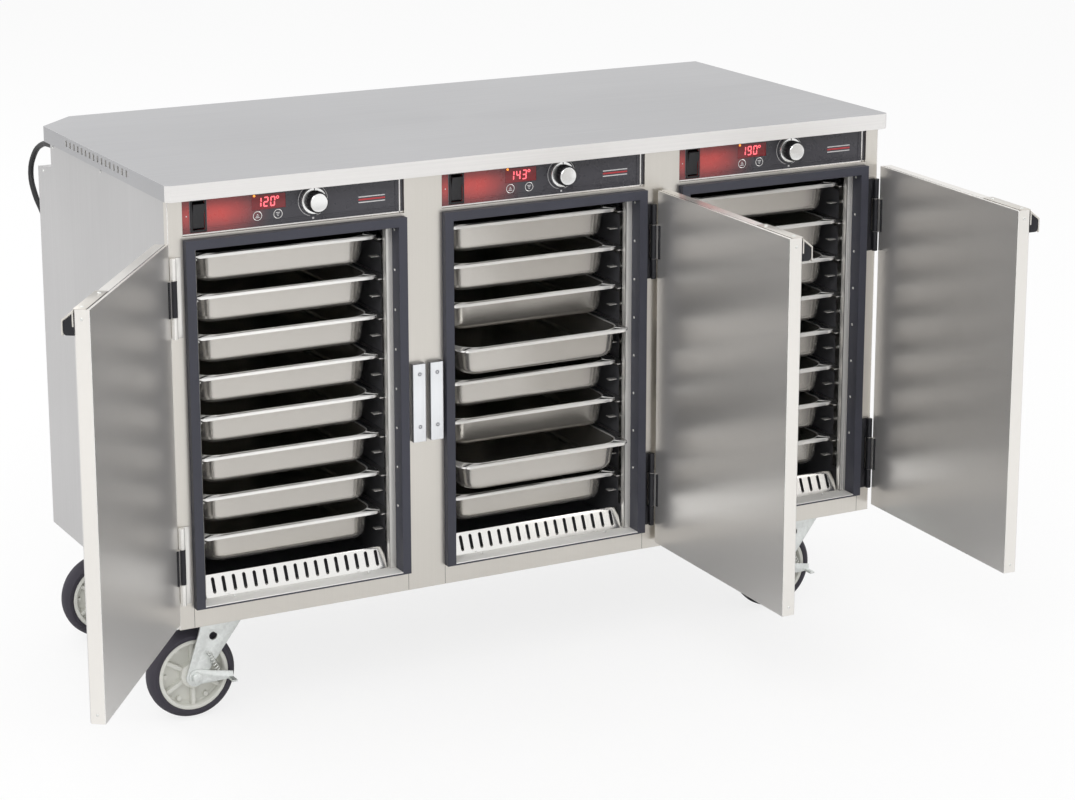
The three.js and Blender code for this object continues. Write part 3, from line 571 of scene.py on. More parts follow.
def refined(node: str, name: str, bevel: float, cutters: Iterable[Piece] = ()) -> Piece:
    """A frame solid copied, merged, cut and given rounded edges.

    Args:
        node: The solid's name.
        name: The piece's name.
        bevel: Width of the rounded edges.
        cutters: Solids taken away from it.

    Returns:
        The copy.
    """

    def work() -> None:
        """Merge the solid's triangles into flat faces."""
        bpy.ops.mesh.remove_doubles(threshold=2e-5)
        bpy.ops.mesh.dissolve_limited(angle_limit=math.radians(1))

    piece = copied(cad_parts[node], name, Matrix.Identity(4))
    piece.hide_render = False
    edited(piece, work)
    for cutter in cutters:
        cut(piece, cutter)
    return smoothed(bevelled(piece, bevel, 2, 40), 32)


def wire(name: str, points: Sequence[Point], radius: float, rounded: bool, **settings: object) -> Piece:
    """A curve of round section.

    Args:
        name: The piece's name.
        points: What it runs through.
        radius: Radius of its section.
        rounded: Run smoothly from point to point.
        settings: The curve's other settings.

    Returns:
        The curve.
    """
    data = bpy.data.curves.new(name, "CURVE")
    data.dimensions = "3D"
    data.bevel_depth = radius * MM
    for key, value in settings.items():
        setattr(data, key, value)
    spline = data.splines.new("BEZIER" if rounded else "POLY")
    knots = spline.bezier_points if rounded else spline.points
    knots.add(len(points) - 1)
    for knot, point in zip(knots, points):
        if rounded:
            knot.co = metres(point)
            knot.handle_left_type = knot.handle_right_type = "AUTO"
        else:
            knot.co = (*metres(point), 1)
    piece = bpy.data.objects.new(name, data)
    bpy.context.scene.collection.objects.link(piece)
    return piece


def fit(piece: Piece, finish: Finish, body: str = CABINET, nodes: Sequence[str] = ()) -> None:
    """Give a piece its finish, its body and the solids that it stands for.

    Args:
        piece: The finished piece.
        finish: The finish.
        body: The body that it moves with.
        nodes: Frame solids that it replaces.
    """
    piece.data.materials.clear()
    piece.data.materials.append(finish.material())
    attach(piece, body)
    if nodes:
        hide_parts(*nodes)
    log.info("%s on %s, %s", piece.name, body, finish.name)


def dress(node: str, finish: Finish) -> None:
    """Give a frame solid its finish."""
    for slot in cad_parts[node].material_slots:
        slot.material = finish.material()
    log.info("%s, %s", node, finish.name)


@dataclass
class Fasteners:
    """Round screw heads and hex bolt heads of one piece, their profiles in shares of the radius."""

    name: str
    body: str = CABINET
    heads: list[Piece] = field(default_factory=list)

    def turn(self, profile: Sequence[tuple[float, float]], at: Point, facing: Point, radius: float,
             steps: int) -> None:
        """Turn one head from its profile."""
        self.heads.append(turned("head", [(r * radius, h * radius) for r, h in profile], at, facing, steps))

    def screw(self, at: Point, facing: Point, radius: float) -> None:
        """Set one domed screw head with a driving recess."""
        dome = ((0, -0.3), (1, -0.3), (1, 0.06), (0.9, 0.26), (0.6, 0.42), (0.3, 0.47), (0.22, 0.2), (0, 0.2))
        self.turn(dome, at, facing, radius, 12)

    def bolt(self, at: Point, facing: Point, radius: float) -> None:
        """Set one hex bolt head on a washer."""
        self.turn(((0, 0), (1.25, 0), (1.25, 0.18), (0, 0.18)), at, facing, radius, 20)
        self.turn(((0, 0.18), (1, 0.18), (1, 0.75), (0.86, 0.86), (0, 0.86)), at, facing, radius, 6)

    def fit(self) -> None:
        """Join the heads into one piece and fit it."""
        fit(joined(self.name, self.heads), BOLT, self.body)


# Camera, cord and studio


@dataclass
class Viewpoint:
    """The camera, as fitted to the photograph; its focal length and centre are in pixels."""

    place: Point = (-2186.3, -4399.8, 1617.2)
    forward: Point = (0.45568, 0.85709, -0.24033)
    right: Point = (0.88286, -0.46963, -0.00087)
    focal: float = 2847.0
    width: float = 1075.0
    height: float = 800.0
    centre: tuple[float, float] = (537.5, 300.0)

    def build(self) -> None:
        """Make the camera and use it."""
        data = bpy.data.cameras.new("photograph_view")
        data.sensor_width = 36
        data.lens = self.focal / self.width * data.sensor_width
        data.shift_x = (self.width / 2 - self.centre[0]) / self.width
        data.shift_y = (self.centre[1] - self.height / 2) / self.width
        data.clip_end = 100
        camera = bpy.data.objects.new("photograph_view", data)
        bpy.context.scene.collection.objects.link(camera)
        forward, right = Vector(self.forward).normalized(), Vector(self.right).normalized()
        turn = Matrix((right, right.cross(forward), -forward)).transposed().to_4x4()
        camera.matrix_world = shifted(self.place) @ turn
        bpy.context.scene.camera = camera


@dataclass
class PowerLead:
    """The cord from its gland to the coil on the floor and its plug."""

    radius: float = 5.0
    floor: float = -188.0
    coil_centre: tuple[float, float] = (-330.0, 410.0)
    coil_outer: float = 70.0
    coil_step: float = 12.5
    coil_lift: float = 10.6
    coil_turns: int = 2
    steps: int = 24
    tail: float = 62.0
    length: float = 2.734
    gland: Point = (-648.0, 243.0, 690.0)
    gland_length: float = 34.0
    plug_gap: float = 0.3
    plug_length: float = 42.0
    strap: float = 1.2
    route: tuple[Point, ...] = (
        (-648, 277.3, 690), (-648, 300, 690), (-649, 340, 684), (-652, 378, 660), (-655, 392, 625),
        (-656, 372, 592), (-652, 342, 560), (-640, 329, 505), (-606, 327, 390), (-558, 327, 250),
        (-505, 328, 110), (-458, 331, -20), (-434, 336, -100), (-422, 339, -145), (-402, 340, -174),
        (-350.3, 340, -183), (-340.3, 340, -183),
    )

    def coil_point(self, turns: float) -> Point:
        """A point of the coil after a number of turns: inwards, up, and outwards again."""
        share = min(max((turns - self.coil_turns) / 0.5, 0), 1)
        climb = share * share * (3 - 2 * share)
        inward = min(turns, self.coil_turns)
        outward = max(turns - self.coil_turns - 0.5, 0)
        radius = self.coil_outer - self.coil_step * (inward - outward)
        (x, y), angle = self.coil_centre, ROUND * turns - math.pi / 2
        height = self.floor + self.radius + self.coil_lift * climb
        return (x + radius * math.cos(angle), y + radius * math.sin(angle), height)

    def path(self) -> list[Point]:
        """All the points that the cord runs through."""
        last = round((2 * self.coil_turns + 0.5) * self.steps)
        points = [*self.route, *[self.coil_point(k / self.steps) for k in range(last + 1)]]
        end = points[-1]
        return points + [(end[0] - self.tail * share, end[1], end[2]) for share in (0.25, 0.6, 1)]

    def build(self) -> None:
        """Make the cord, its gland, its plug and its tie."""
        points = self.path()
        lead = wire("power_lead", points, self.radius, True, bevel_resolution=3, resolution_u=4,
                    use_fill_caps=True)
        fit(lead, CORD, nodes=("power_cord", "cord_coil"))
        extras = [self.plug_body(points[-1]), self.plug_blades(points[-1]), self.tie()]
        self.build_gland()

    def build_gland(self) -> None:
        """Make the ribbed, tapered strain relief."""
        profile = [(0, -8), (8, -8), (8, 0.3), (11, 0.3), (11, 4), (10, 5), (8.2, 6)]
        ribs = 6
        for k in range(ribs):
            low = 8 + k * 4.2
            radius = 8 - (k + 0.5) * 1.5 / ribs
            profile += [(radius, low), (radius, low + 2.4), (radius - 1, low + 2.9), (radius - 1, low + 3.7)]
        profile += [(6.5, self.gland_length - 0.5), (6, self.gland_length), (0, self.gland_length)]
        gland = turned("lead_gland", profile, self.gland, BACKWARD, 24)
        fit(gland, PLASTIC, nodes=("cord_gland",))

    def plug_body(self, end: Point) -> Piece:
        """Make the plug's body with its grip ribs."""
        profile = [(0, 0), (6.5, 0), (7, 3)]
        for k in range(4):
            rib, low = 7.5 + k * 1.2, 4 + k * 4
            profile += [(rib, low), (rib, low + 2), (rib - 1, low + 2.6), (rib - 1, low + 3.6)]
        profile += [(14, 22), (15.6, 26), (15.6, 41.5), (14.4, 43), (0, 43)]
        piece = turned("lead_plug", profile, (end[0] - self.plug_gap, end[1], end[2]), (-1, 0, 0), 32)
        fit(piece, PLASTIC, nodes=("power_plug",))
        return piece

    def plug_blades(self, end: Point) -> Piece:
        """Make the plug's two blades and its round ground pin."""
        face = end[0] - self.plug_gap - self.plug_length
        parts = [block("blade", (face - 17, end[1] - 3.2, end[2] + side * 6.35 - 0.8),
                       (face, end[1] + 3.2, end[2] + side * 6.35 + 0.8), 0.3) for side in (-1, 1)]
        pin = [(0, 0), (2.4, 0), (2.4, 15), (1.4, 16.9), (0, 17)]
        parts.append(turned("pin", pin, (face, end[1] + 8, end[2]), (-1, 0, 0), 16))
        piece = joined("lead_plug_blades", parts)
        fit(piece, BRIGHT)
        return piece

    def tie(self) -> Piece:
        """Make the strap round the coil's turns, a quarter turn from its start."""
        (x, y), thick = self.coil_centre, self.strap
        inner, outer = x + self.coil_outer - 2.5 * self.coil_step - 4, x + self.coil_outer + 6
        low, high = self.floor, self.floor + 2 * self.radius + self.coil_lift + thick
        bands = [block("band", (a, y - 6, c), (b, y + 6, d), 0.4) for a, b, c, d in (
            (inner, outer, low, low + thick), (inner, outer, high - thick, high),
            (inner, inner + thick, low, high), (outer - thick, outer, low, high))]
        piece = joined("lead_tie", bands)
        fit(piece, PLASTIC)
        return piece


@dataclass
class Studio:
    """White floor, soft world and lamps; places of lamps are in metres."""

    floor: float = -188.0
    sink: float = 0.2
    reach: float = 60.0
    daylight: float = 0.78
    shadow_share: float = 0.2
    matt: Colour = (0.96, 0.96, 0.96, 1)
    target: Point = (0, 0, 0.2)

    def build(self) -> None:
        """Make the floor, the world and the lamps."""
        self.build_floor()
        self.build_world()
        self.lamp("key", (-3.2, -4.2, 4.6), 3.5, 120)
        self.lamp("fill", (4.5, -3.2, 3.4), 3.0, 50)
        self.lamp("back", (-1.5, 4.5, 4.2), 3.5, 60)

    def build_floor(self) -> None:
        """Make a large white floor that keeps a share of the object's shadow."""
        bpy.ops.object.select_all(action="DESELECT")
        bpy.ops.mesh.primitive_plane_add(size=self.reach, location=metres((0, 0, self.floor - self.sink)))
        floor = named("studio_floor")
        sheet = NodeSheet(bpy.data.materials.new("studio_floor_white"))
        seen = sheet.add("LightPath", {}).outputs["Is Camera Ray"]
        share = sheet.worked("MULTIPLY", seen, 1 - self.shadow_share)
        matt = sheet.add("BsdfDiffuse", {"Color": self.matt}).outputs[0]
        light = sheet.add("Emission", {"Color": WHITE}).outputs[0]
        sheet.feed(sheet.surface, sheet.add("MixShader", {0: share, 1: matt, 2: light}).outputs[0])
        floor.data.materials.append(sheet.owner)

    def build_world(self) -> None:
        """White where it is seen or mirrored, softer where it lights."""
        world = bpy.data.worlds.new("studio_world")
        sheet = NodeSheet(world, "OutputWorld")
        soft, white = (sheet.add("Background", {"Color": WHITE, "Strength": strength}).outputs[0]
                       for strength in (self.daylight, 1.0))
        path = sheet.add("LightPath", {})
        seen = path.outputs["Is Camera Ray"]
        for name in ("Is Glossy Ray", "Is Transmission Ray"):
            seen = sheet.worked("MAXIMUM", seen, path.outputs[name])
        sheet.feed(sheet.surface, sheet.add("MixShader", {0: seen, 1: soft, 2: white}).outputs[0])
        bpy.context.scene.world = world

    def lamp(self, name: str, place: Point, size: float, power: float) -> None:
        """Set one square lamp that looks at the cabinet."""
        data = bpy.data.lights.new(name, "AREA")
        data.size = size
        data.energy = power
        lamp = bpy.data.objects.new(name, data)
        lamp.location = place
        lamp.rotation_euler = (Vector(self.target) - Vector(place)).to_track_quat("-Z", "Y").to_euler()
        bpy.context.scene.collection.objects.link(lamp)


# The cabinet's sub-assemblies


@dataclass(frozen=True)
class Bay:
    """One of the three bays: its middle, and its door's pin, hand and angle from shut."""

    name: str
    centre: float
    pin: float
    sign: int
    angle: float
    reading: str
    half: float = 191.0
    pin_depth: float = -321.5

    @property
    def left(self) -> float:
        """The bay's left edge."""
        return self.centre - self.half

    @property
    def hang(self) -> Matrix:
        """From the shut door's own place, pin at the origin, to where it stands open."""
        turn = Matrix.Rotation(math.radians(-self.sign * self.angle), 4, "Z")
        return shifted((self.pin, self.pin_depth, 0)) @ turn


BAYS = (
    Bay("left", -450, -661, 1, 126, "120"),
    Bay("middle", 0, 206, -1, 89, "143"),
    Bay("right", 450, 661, -1, 87.5, "190"),
)


@dataclass
class Housing:
    """Worktop, outer shell, face frame, base and linings with their small fixings."""

    half: float = 666.0
    face: float = -315.0
    back: float = 315.0
    cover_half: float = 600.0
    swage_inset: float = 40.0
    strip_half: float = 161.0
    strip_rise: float = 38.0
    strip_inset: float = 21.0
    strip_foot: float = 37.8
    strip_lean: float = math.radians(24)
    slots: int = 17
    slot_pitch: float = 18.2
    slot_half: float = 2.9
    sill_half: float = 175.8

    def build(self) -> None:
        """Dress the sheet parts and set their fixings."""
        for node, finish in (("worktop", WORKTOP), ("outer_shell", SIDE), ("face_frame", FRAME),
                             ("base_frame", BASE)):
            dress(node, finish)
        for bay in BAYS:
            dress(f"lining_{bay.name}", LINING)
            dress(f"gasket_{bay.name}", GASKET)
            self.build_air_strip(bay)
        self.build_edges()
        self.build_rear_cover()
        self.build_fixings()

    def build_air_strip(self, bay: Bay) -> None:
        """Make a bay's slotted strip, leaning back, and the sill before it, whose near-white colour is
        painted light.

        Args:
            bay: The bay that they stand in.
        """
        half, wide = self.strip_half, self.slot_half
        foot, head = 6 + wide, self.strip_rise - 5 - wide
        strip = block("strip", (-half, 0, 0), (half, 1.5, self.strip_rise), 0.3)
        cutters = []
        for k in range(self.slots):
            x = (k - (self.slots - 1) / 2) * self.slot_pitch
            cutters.append(block("slot", (x - wide, -5, foot), (x + wide, 5, head)))
            end = [(0, -5), (wide, -5), (wide, 5), (0, 5)]
            cutters += [turned("end", end, (x, 0, z), BACKWARD, 16) for z in (foot, head)]
        cut(strip, joined("slots", cutters), use_self=True)
        place = shifted((bay.centre, self.face + self.strip_inset, self.strip_foot))
        strip.data.transform(place @ Matrix.Rotation(-self.strip_lean, 4, "X"))
        strip.name = f"air_grille_{bay.name}"
        fit(smoothed(strip), BRIGHT, nodes=(f"air_strip_{bay.name}",))
        low = (bay.centre - self.sill_half, self.face - 12.2, 36)
        high = (bay.centre + self.sill_half, self.face + 47, 37.6)
        # The sill's near-white colour is painted light: it brightens a surface that lies in the cabinet's
        # shade.
        fit(block(f"bay_sill_{bay.name}", low, high, 0.4), SILL)

    def build_edges(self) -> None:
        """Make the frame's thin dark joints, near-white beads on its folded corners as a painted highlight,
        and the baffles behind the vents.
        """
        lines = [block("line", (x - 0.3, self.face - 0.12, 1), (x + 0.3, self.face + 0.3, 32.6))
                 for bay in BAYS for x in (bay.left, bay.left + 2 * bay.half)]
        fit(joined("frame_joints", lines), SEAM)
        # Each corner bead is a painted highlight: a near-white strip standing in for the light caught by the
        # fold.
        beads = [block("bead", (sign * (self.half + 0.25), self.face - 0.25, 0.5),
                       (sign * (self.half - 1.6), self.face + 1.6, 706), 0.8, 3) for sign in (-1, 1)]
        fit(joined("housing_corner_highlights", beads), JAMB)
        inner, outer = self.half + 4.6, self.half + 5.8
        baffles = [block("baffle", (sign * inner, -185, 708), (sign * outer, 175, 730)) for sign in (-1, 1)]
        fit(joined("vent_baffles", baffles), BASE)

    def build_rear_cover(self) -> None:
        """Make the screwed service cover on the back, with its raised middle."""
        half, inset = self.cover_half, self.swage_inset
        parts = [block("cover", (-half, self.back + 0.1, 60), (half, self.back + 1.6, 600), 0.6),
                 block("swage", (inset - half, self.back + 1.4, 60 + inset),
                       (half - inset, self.back + 4, 600 - inset), 2.4, 3)]
        fit(joined("rear_cover", parts), SIDE)

    def build_fixings(self) -> None:
        """Set the screws of the sides, the rear cover, the ledge and the air strips."""
        screws = Fasteners("housing_screws")
        for y, z in ((-13, 699), (230, 699), (286, 648)):
            for sign in (-1, 1):
                screws.screw((sign * self.half, y, z), (sign, 0, 0), 2.6)
        places = [(x, z) for x in range(-580, 581, 145) for z in (72, 588)]
        places += [(x, z) for z in (200, 330, 460) for x in (-588, 588)]
        for x, z in places:
            screws.screw((x, self.back + 1.6, z), BACKWARD, 3.4)
        for x in range(-600, 601, 200):
            screws.screw((x, 243.5, 676), BACKWARD, 3.0)
        for bay in BAYS:
            for x in (-120, 120):
                screws.screw((bay.centre + x, self.face + 3.2, 42.5), FORWARD, 2.0)
        screws.fit()


@dataclass
class Racks:
    """Slide racks, their screws and the pans that they carry."""

    top: float = 603.8
    pitch: float = 67.1
    levels: int = 8
    pan_width: float = 325.0
    pan_length: float = 527.0
    pan_depth: float = 52.0
    pan_front: float = -279.0
    gauge: float = 1.2
    rim: float = 9.0
    rim_height: float = 4.6
    drawn: float = 44.0
    lip: float = 2.9
    bead: float = 1.5
    rim_corner: float = 16.0
    wall_corner: float = 40.0
    wall: float = 175.7
    post_outer: float = 177.4
    post_inner: float = 164.0
    post_front: float = -299.5
    post_ends: tuple[float, float] = (38.0, 632.0)
    sheet: float = 1.6

    def heights(self, offset: float) -> list[float]:
        """The same height at every level, from the rims' own."""
        return [self.top - level * self.pitch + offset for level in range(self.levels)]

    def build(self) -> None:
        """Dress the racks, set their screws, their posts and tabs, and fill them."""
        sides = [(bay, side, sign) for bay in BAYS for side, sign in (("left", -1), ("right", 1))]
        screws = Fasteners("rack_screws")
        for bay, side, sign in sides:
            dress(f"rack_{bay.name}_{side}", RACK)
            for z in self.heights(-36):
                for y in (-268, 235):
                    screws.screw((bay.centre + sign * self.wall, y, z), (-sign, 0, 0), 3.4)
            for z in self.heights(15):
                screws.screw((bay.centre + sign * 176, -309, z), (-sign, 0, 0), 2.4)
        screws.fit()
        for bay, side, sign in sides:
            self.build_post(f"{bay.name}_{side}", bay.centre, sign)
        self.build_pans()

    def build_post(self, name: str, centre: float, sign: int) -> None:
        """Make the folded post before a rack and a small tab at every level, both near white as a painted
        highlight.

        Args:
            name: The rack's bay and side.
            centre: The bay's middle.
            sign: Which side of the middle it is on.
        """
        outer, inner = centre + sign * self.post_outer, centre + sign * self.post_inner
        front, (foot, head) = self.post_front, self.post_ends
        # The posts and tabs are near white: a painted highlight of the rack's front edges.
        post = [block("post", (outer, front, foot), (inner, front + self.sheet, head), 0.4),
                block("fold", (inner, front, foot), (inner + sign * self.sheet, front + 11.5, head), 0.4)]
        fit(joined(f"rack_post_{name}", post), JAMB)
        tabs = [block("tab", (centre + sign * 160, -252, z), (centre + sign * 175, -240, z + self.sheet), 0.4)
                for z in self.heights(-42)]
        fit(joined(f"rack_tabs_{name}", tabs), JAMB)

    def ring(self, inset: float, radius: float) -> list[Point]:
        """Points of a rounded rectangle inside the pan's rim.

        Args:
            inset: How far inside the rim's outer edge it lies.
            radius: Radius of its corners.

        Returns:
            Nine points for each corner.
        """
        across, along = self.pan_width / 2 - inset - radius, self.pan_length / 2 - inset - radius
        points = []
        for quarter, (right, back) in enumerate(((1, 1), (-1, 1), (-1, -1), (1, -1))):
            for step in range(9):
                angle = (quarter + step / 8) * math.pi / 2
                points.append((right * across + radius * math.cos(angle),
                               back * along + radius * math.sin(angle), 0))
        return points

    def build_pan(self) -> Piece:
        """Model one pan with its rim at the origin's height: bowl, flat rim and turned-down lip."""
        steps = ((0.9, -0.5), (0.5, -1.1), (5.6, 16.6 - self.pan_depth), (1.3, -4.6), (2.4, -4.0),
                 (4.2, -2.9), (6.0, -1.7), (9.0, -0.6))

        def sink() -> None:
            """Draw the bowl down, a ring at a time."""
            for inset, drop in steps:
                bpy.ops.mesh.inset(thickness=inset * MM, depth=0)
                bpy.ops.transform.translate(value=metres((0, 0, drop)))

        def turn_down() -> None:
            """Join the rim to the bowl and fold its edge down."""
            bpy.ops.mesh.remove_doubles(threshold=1e-6)
            bpy.ops.mesh.select_all(action="DESELECT")
            bpy.ops.mesh.select_non_manifold()
            bpy.ops.mesh.extrude_edges_move(TRANSFORM_OT_translate={"value": metres((0, 0, -self.lip))})
            tidied()

        inside, outside = self.ring(self.rim, self.wall_corner), self.ring(0, self.rim_corner)
        bowl = edited(loop("pan", inside, True), sink)
        rim = joined("rim", [loop("edge", outside, False), loop("edge", inside, False)])
        edited(rim, bpy.ops.mesh.bridge_edge_loops)
        pan = edited(joined("pan", [bowl, rim]), turn_down)
        self.lower_bead(pan)
        modified(pan, "SOLIDIFY", thickness=self.gauge * MM, offset=-1)
        return smoothed(bevelled(pan, 1.6, 4, 50), 60)

    def lower_bead(self, pan: Piece) -> None:
        """Deepen the lip in front and behind, but not where it passes the racks."""
        clear = (self.pan_width / 2 - 7.5) * MM
        for vertex in pan.data.vertices:
            on_lip = abs(vertex.co.z + self.lip * MM) < 0.1 * MM
            if on_lip and abs(vertex.co.y) > (self.pan_length / 2 - 17) * MM:
                vertex.co.z -= self.bead * MM * min(max((clear - abs(vertex.co.x)) / (6 * MM), 0), 1)

    def build_pans(self) -> None:
        """Copy the pan onto every level; two of the middle bay ride on their own bodies."""
        master = self.build_pan()
        own = {("middle", 4): "pan_upper", ("middle", 7): "pan_lower"}
        for bay in BAYS:
            for level, z in enumerate(self.heights(0), 1):
                node = own.get((bay.name, level))
                front = self.pan_front - (self.drawn if node else 0)
                place = (bay.centre, front + self.pan_length / 2, z)
                pan = copied(master, f"pan_{bay.name}_{level}", shifted(place))
                fit(pan, PAN, node or CABINET, (node,) if node else ())
                # The faces above the rim's height take the near-white rim finish, a painted highlight.
                pan.data.materials.append(RIM.material())
                for polygon in pan.data.polygons:
                    polygon.material_index = 1 if polygon.center.z > (z - self.rim_height) * MM else 0
        bpy.data.objects.remove(master)


@dataclass
class ControlPanel:
    """One bay's fascia with its trim, display, lamps, touch buttons, rocker and knob."""

    bay: Bay
    front: float = -311.0
    foot: float = 646.0
    knob: tuple[float, float] = (223.5, 682.0)
    display: tuple[float, float] = (147.5, 687.5)
    stripe_ends: tuple[float, float] = (303.0, 350.0)
    digit_height: float = 16.0
    digit_width: float = 8.4
    digit_lean: float = 0.08
    stroke: float = 2.0
    print_height: float = 0.12
    knob_ribs: int = 24
    charcoal: str = "3C3B41"

    def at(self, x: float, z: float, proud: float = 0.0) -> Point:
        """A point of the fascia from the bay's left edge."""
        return (self.bay.left + x, self.front - proud, z)

    def tile(self, name: str, x: Point, z: Point, proud: float, bevel: float = 0.1) -> Piece:
        """A thin plate on the fascia.

        Args:
            name: The piece's name.
            x: Its two limits from the bay's left edge.
            z: Its two heights.
            proud: How far it stands before the fascia.
            bevel: Width of its bevel.

        Returns:
            The plate.
        """
        return block(name, self.at(x[0], z[0], proud), self.at(x[1], z[1], -0.4), bevel)

    def disc(self, name: str, x: float, z: float, radius: float, proud: float) -> Piece:
        """A small domed disc on the fascia."""
        profile = [(0, -0.4), (radius, -0.4), (radius, proud * 0.5), (radius * 0.8, proud), (0, proud)]
        return turned(name, profile, self.at(x, z), FORWARD, 24)

    def build(self) -> None:
        """Make all pieces of the panel."""
        name = self.bay.name
        overlay = FasciaPrint(f"fascia_print_{name}", self.charcoal, self.at(0, self.foot))
        dress(f"fascia_{name}", overlay)
        self.build_trim(name)
        self.build_display(name)
        self.build_buttons(name)
        self.build_rocker(name)
        self.build_knob(name)

    def build_trim(self, name: str) -> None:
        """Make the bright trim lines, the plain stripes and the small printed marks."""
        trims = [self.tile("trim", (0.3, 381.7), (646.4, 649), 1.0, 0.3),
                 self.tile("trim", (374.2, 376.6), (646.4, 709.7), 1.0, 0.3)]
        fit(joined(f"panel_trim_{name}", trims), TRIM)
        thin = self.print_height
        ring = [(25, -0.2), (25.7, -0.2), (25.7, thin), (25, thin)]
        prints = [self.tile("stripe", self.stripe_ends, (z, z + 1.7), thin) for z in (669, 678)]
        prints += [turned("ring", ring, self.at(*self.knob), FORWARD, 64),
                   self.tile("mark", (221.8, 225.2), (651.6, 654.6), thin),
                   self.disc("mark", 8.5, 677, 1.1, 0.2), self.disc("mark", 28, 648, 1.0, 1.2)]
        fit(joined(f"panel_print_{name}", prints), SCREEN_PRINT)
        fit(self.tile(f"head_seam_{name}", (0.3, 381.7), (643.7, 646.1), -3.8), SEAM)
        red = self.tile(f"panel_stripe_{name}", self.stripe_ends, (673, 675.8), thin)
        fit(red, RED_PRINT)

    def build_display(self, name: str) -> None:
        """Make the dark window, its lit digits with a degree ring, and the amber lamp."""
        x, z = self.display
        glass = self.tile(f"display_glass_{name}", (x - 28.9, x + 28.9), (z - 11.9, z + 11.9), -0.25, 0.2)
        fit(glass, GLASS)
        start, pitch = x - 21, self.digit_width + 3.2
        bars = [bar for k, digit in enumerate(self.bay.reading)
                for bar in self.digit_bars(digit, start + k * pitch, z - self.digit_height / 2)]
        ring = [(2.6, -0.1), (2.6, 0.1), (1.4, 0.1), (1.4, -0.1)]
        bars.append(turned("ring", ring, self.at(start + 3 * pitch + 1.6, z + 5.6, -0.2), FORWARD, 20))
        fit(joined(f"display_digits_{name}", bars), DIGITS)
        fit(self.disc(f"lamp_amber_{name}", 123, 698.6, 1.9, 0.9), AMBER)

    def digit_bars(self, digit: str, x: float, z: float) -> list[Piece]:
        """The lit bars of one seven-segment digit.

        Args:
            digit: One of the digits that are shown.
            x: Its left edge from the bay's left edge.
            z: Its lower edge.

        Returns:
            One small bar for each lit segment.
        """
        lit = {"0": "abcdef", "1": "bc", "2": "abged", "3": "abgcd", "4": "fgbc", "9": "abcdfg"}[digit]
        w, h, s = self.digit_width, self.digit_height, self.stroke
        wide, left, right = (s * 0.6, w - s * 0.6), (0, s), (w - s, w)
        lower, upper = (s * 0.6, h / 2 - s * 0.4), (h / 2 + s * 0.4, h - s * 0.6)
        spans = {"a": (wide, (h - s, h)), "g": (wide, ((h - s) / 2, (h + s) / 2)), "d": (wide, (0, s)),
                 "f": (left, upper), "b": (right, upper), "e": (left, lower), "c": (right, lower)}
        bars = []
        for (x0, x1), (z0, z1) in (spans[key] for key in lit):
            lean = self.digit_lean * (z0 + z1) / 2
            bars.append(block("bar", self.at(x + x0 + lean, z + z0, -0.1),
                              self.at(x + x1 + lean, z + z1, -0.45), 0.12))
        return bars

    def build_buttons(self, name: str) -> None:
        """Make two touch buttons, each a ring around a small arrow of three bars."""
        rings, signs = [], []
        profile = [(7.8, -0.3), (7.8, 0.25), (7.2, 0.5), (6.6, 0.25), (6.6, -0.3)]
        z = 665.8
        for x, foot, growth in ((128, 3.6, -1.2), (163, 1.2, 1.2)):
            rings.append(turned("ring", profile, self.at(x, z), FORWARD, 36))
            for k in range(3):
                half, low = foot + k * growth, z - 3.2 + 2.5 * k
                signs.append(self.tile("sign", (x - half, x + half), (low, low + 1.2), self.print_height))
        fit(joined(f"touch_rings_{name}", rings), TRIM)
        fit(joined(f"touch_signs_{name}", signs), SCREEN_PRINT)

    def build_rocker(self, name: str) -> None:
        """Round the rocker's edges and set its bezel, with a grey ring round it as a painted highlight of the
        bezel's edge.
        """
        body = f"rocker_{name}"
        fit(refined(body, f"power_rocker_{name}", 0.8), PLASTIC, body, (body,))
        bezel = self.tile(f"rocker_bezel_{name}", (14.3, 41.7), (650.3, 703.7), 2.4, 0.9)
        cut(bezel, block("hole", self.at(17.6, 654, 9), self.at(38.4, 700, -9)))
        fit(smoothed(bezel), PLASTIC)
        # The grey ring is a painted highlight of the bezel's edge.
        edge = self.tile(f"rocker_edge_{name}", (13.5, 42.5), (649.5, 704.5), 0.7, 0.2)
        cut(edge, block("hole", self.at(15, 651, 9), self.at(41, 703, -9)))
        fit(edge, SHADED)

    def build_knob(self, name: str) -> None:
        """Make the knob: silver skirt with its pointer, ribbed black ring and brushed cap."""
        body = f"knob_{name}"
        centre = x, y, z = self.at(*self.knob)
        skirt = [(0, 0.4), (21.6, 0.4), (22, 1), (22, 4.6), (21, 6.4), (17.6, 7), (0, 7)]
        piece = turned(f"knob_skirt_{name}", skirt, centre, FORWARD, 64)
        fit(piece, CAP, body, (body,))
        grip = [(0, 6.6), (17.2, 6.6), (16.6, 22.6), (15.8, 24.2), (0, 24.2)]
        rib = [(0, 0), (0.8, 0), (0.8, 15), (0.4, 16.4), (0, 16.4)]
        parts = [turned("grip", grip, centre, FORWARD, 64)]
        for k in range(self.knob_ribs):
            angle = ROUND * k / self.knob_ribs
            at = (x + 16.7 * math.cos(angle), y - 7, z + 16.7 * math.sin(angle))
            parts.append(turned("rib", rib, at, FORWARD, 8))
        fit(joined(f"knob_grip_{name}", parts), PLASTIC, body)
        cap = [(0, 23), (14.6, 23), (14.8, 25.2), (14, 26), (12.6, 25.7), (0, 25.8)]
        fit(turned(f"knob_cap_{name}", cap, centre, FORWARD, 64), CAP, body)
        pointer = block(f"knob_pointer_{name}", (x - 0.7, y - 7.2, z + 17.6), (x + 0.7, y - 6, z + 20.8), 0.2)
        fit(pointer, SEAM, body)


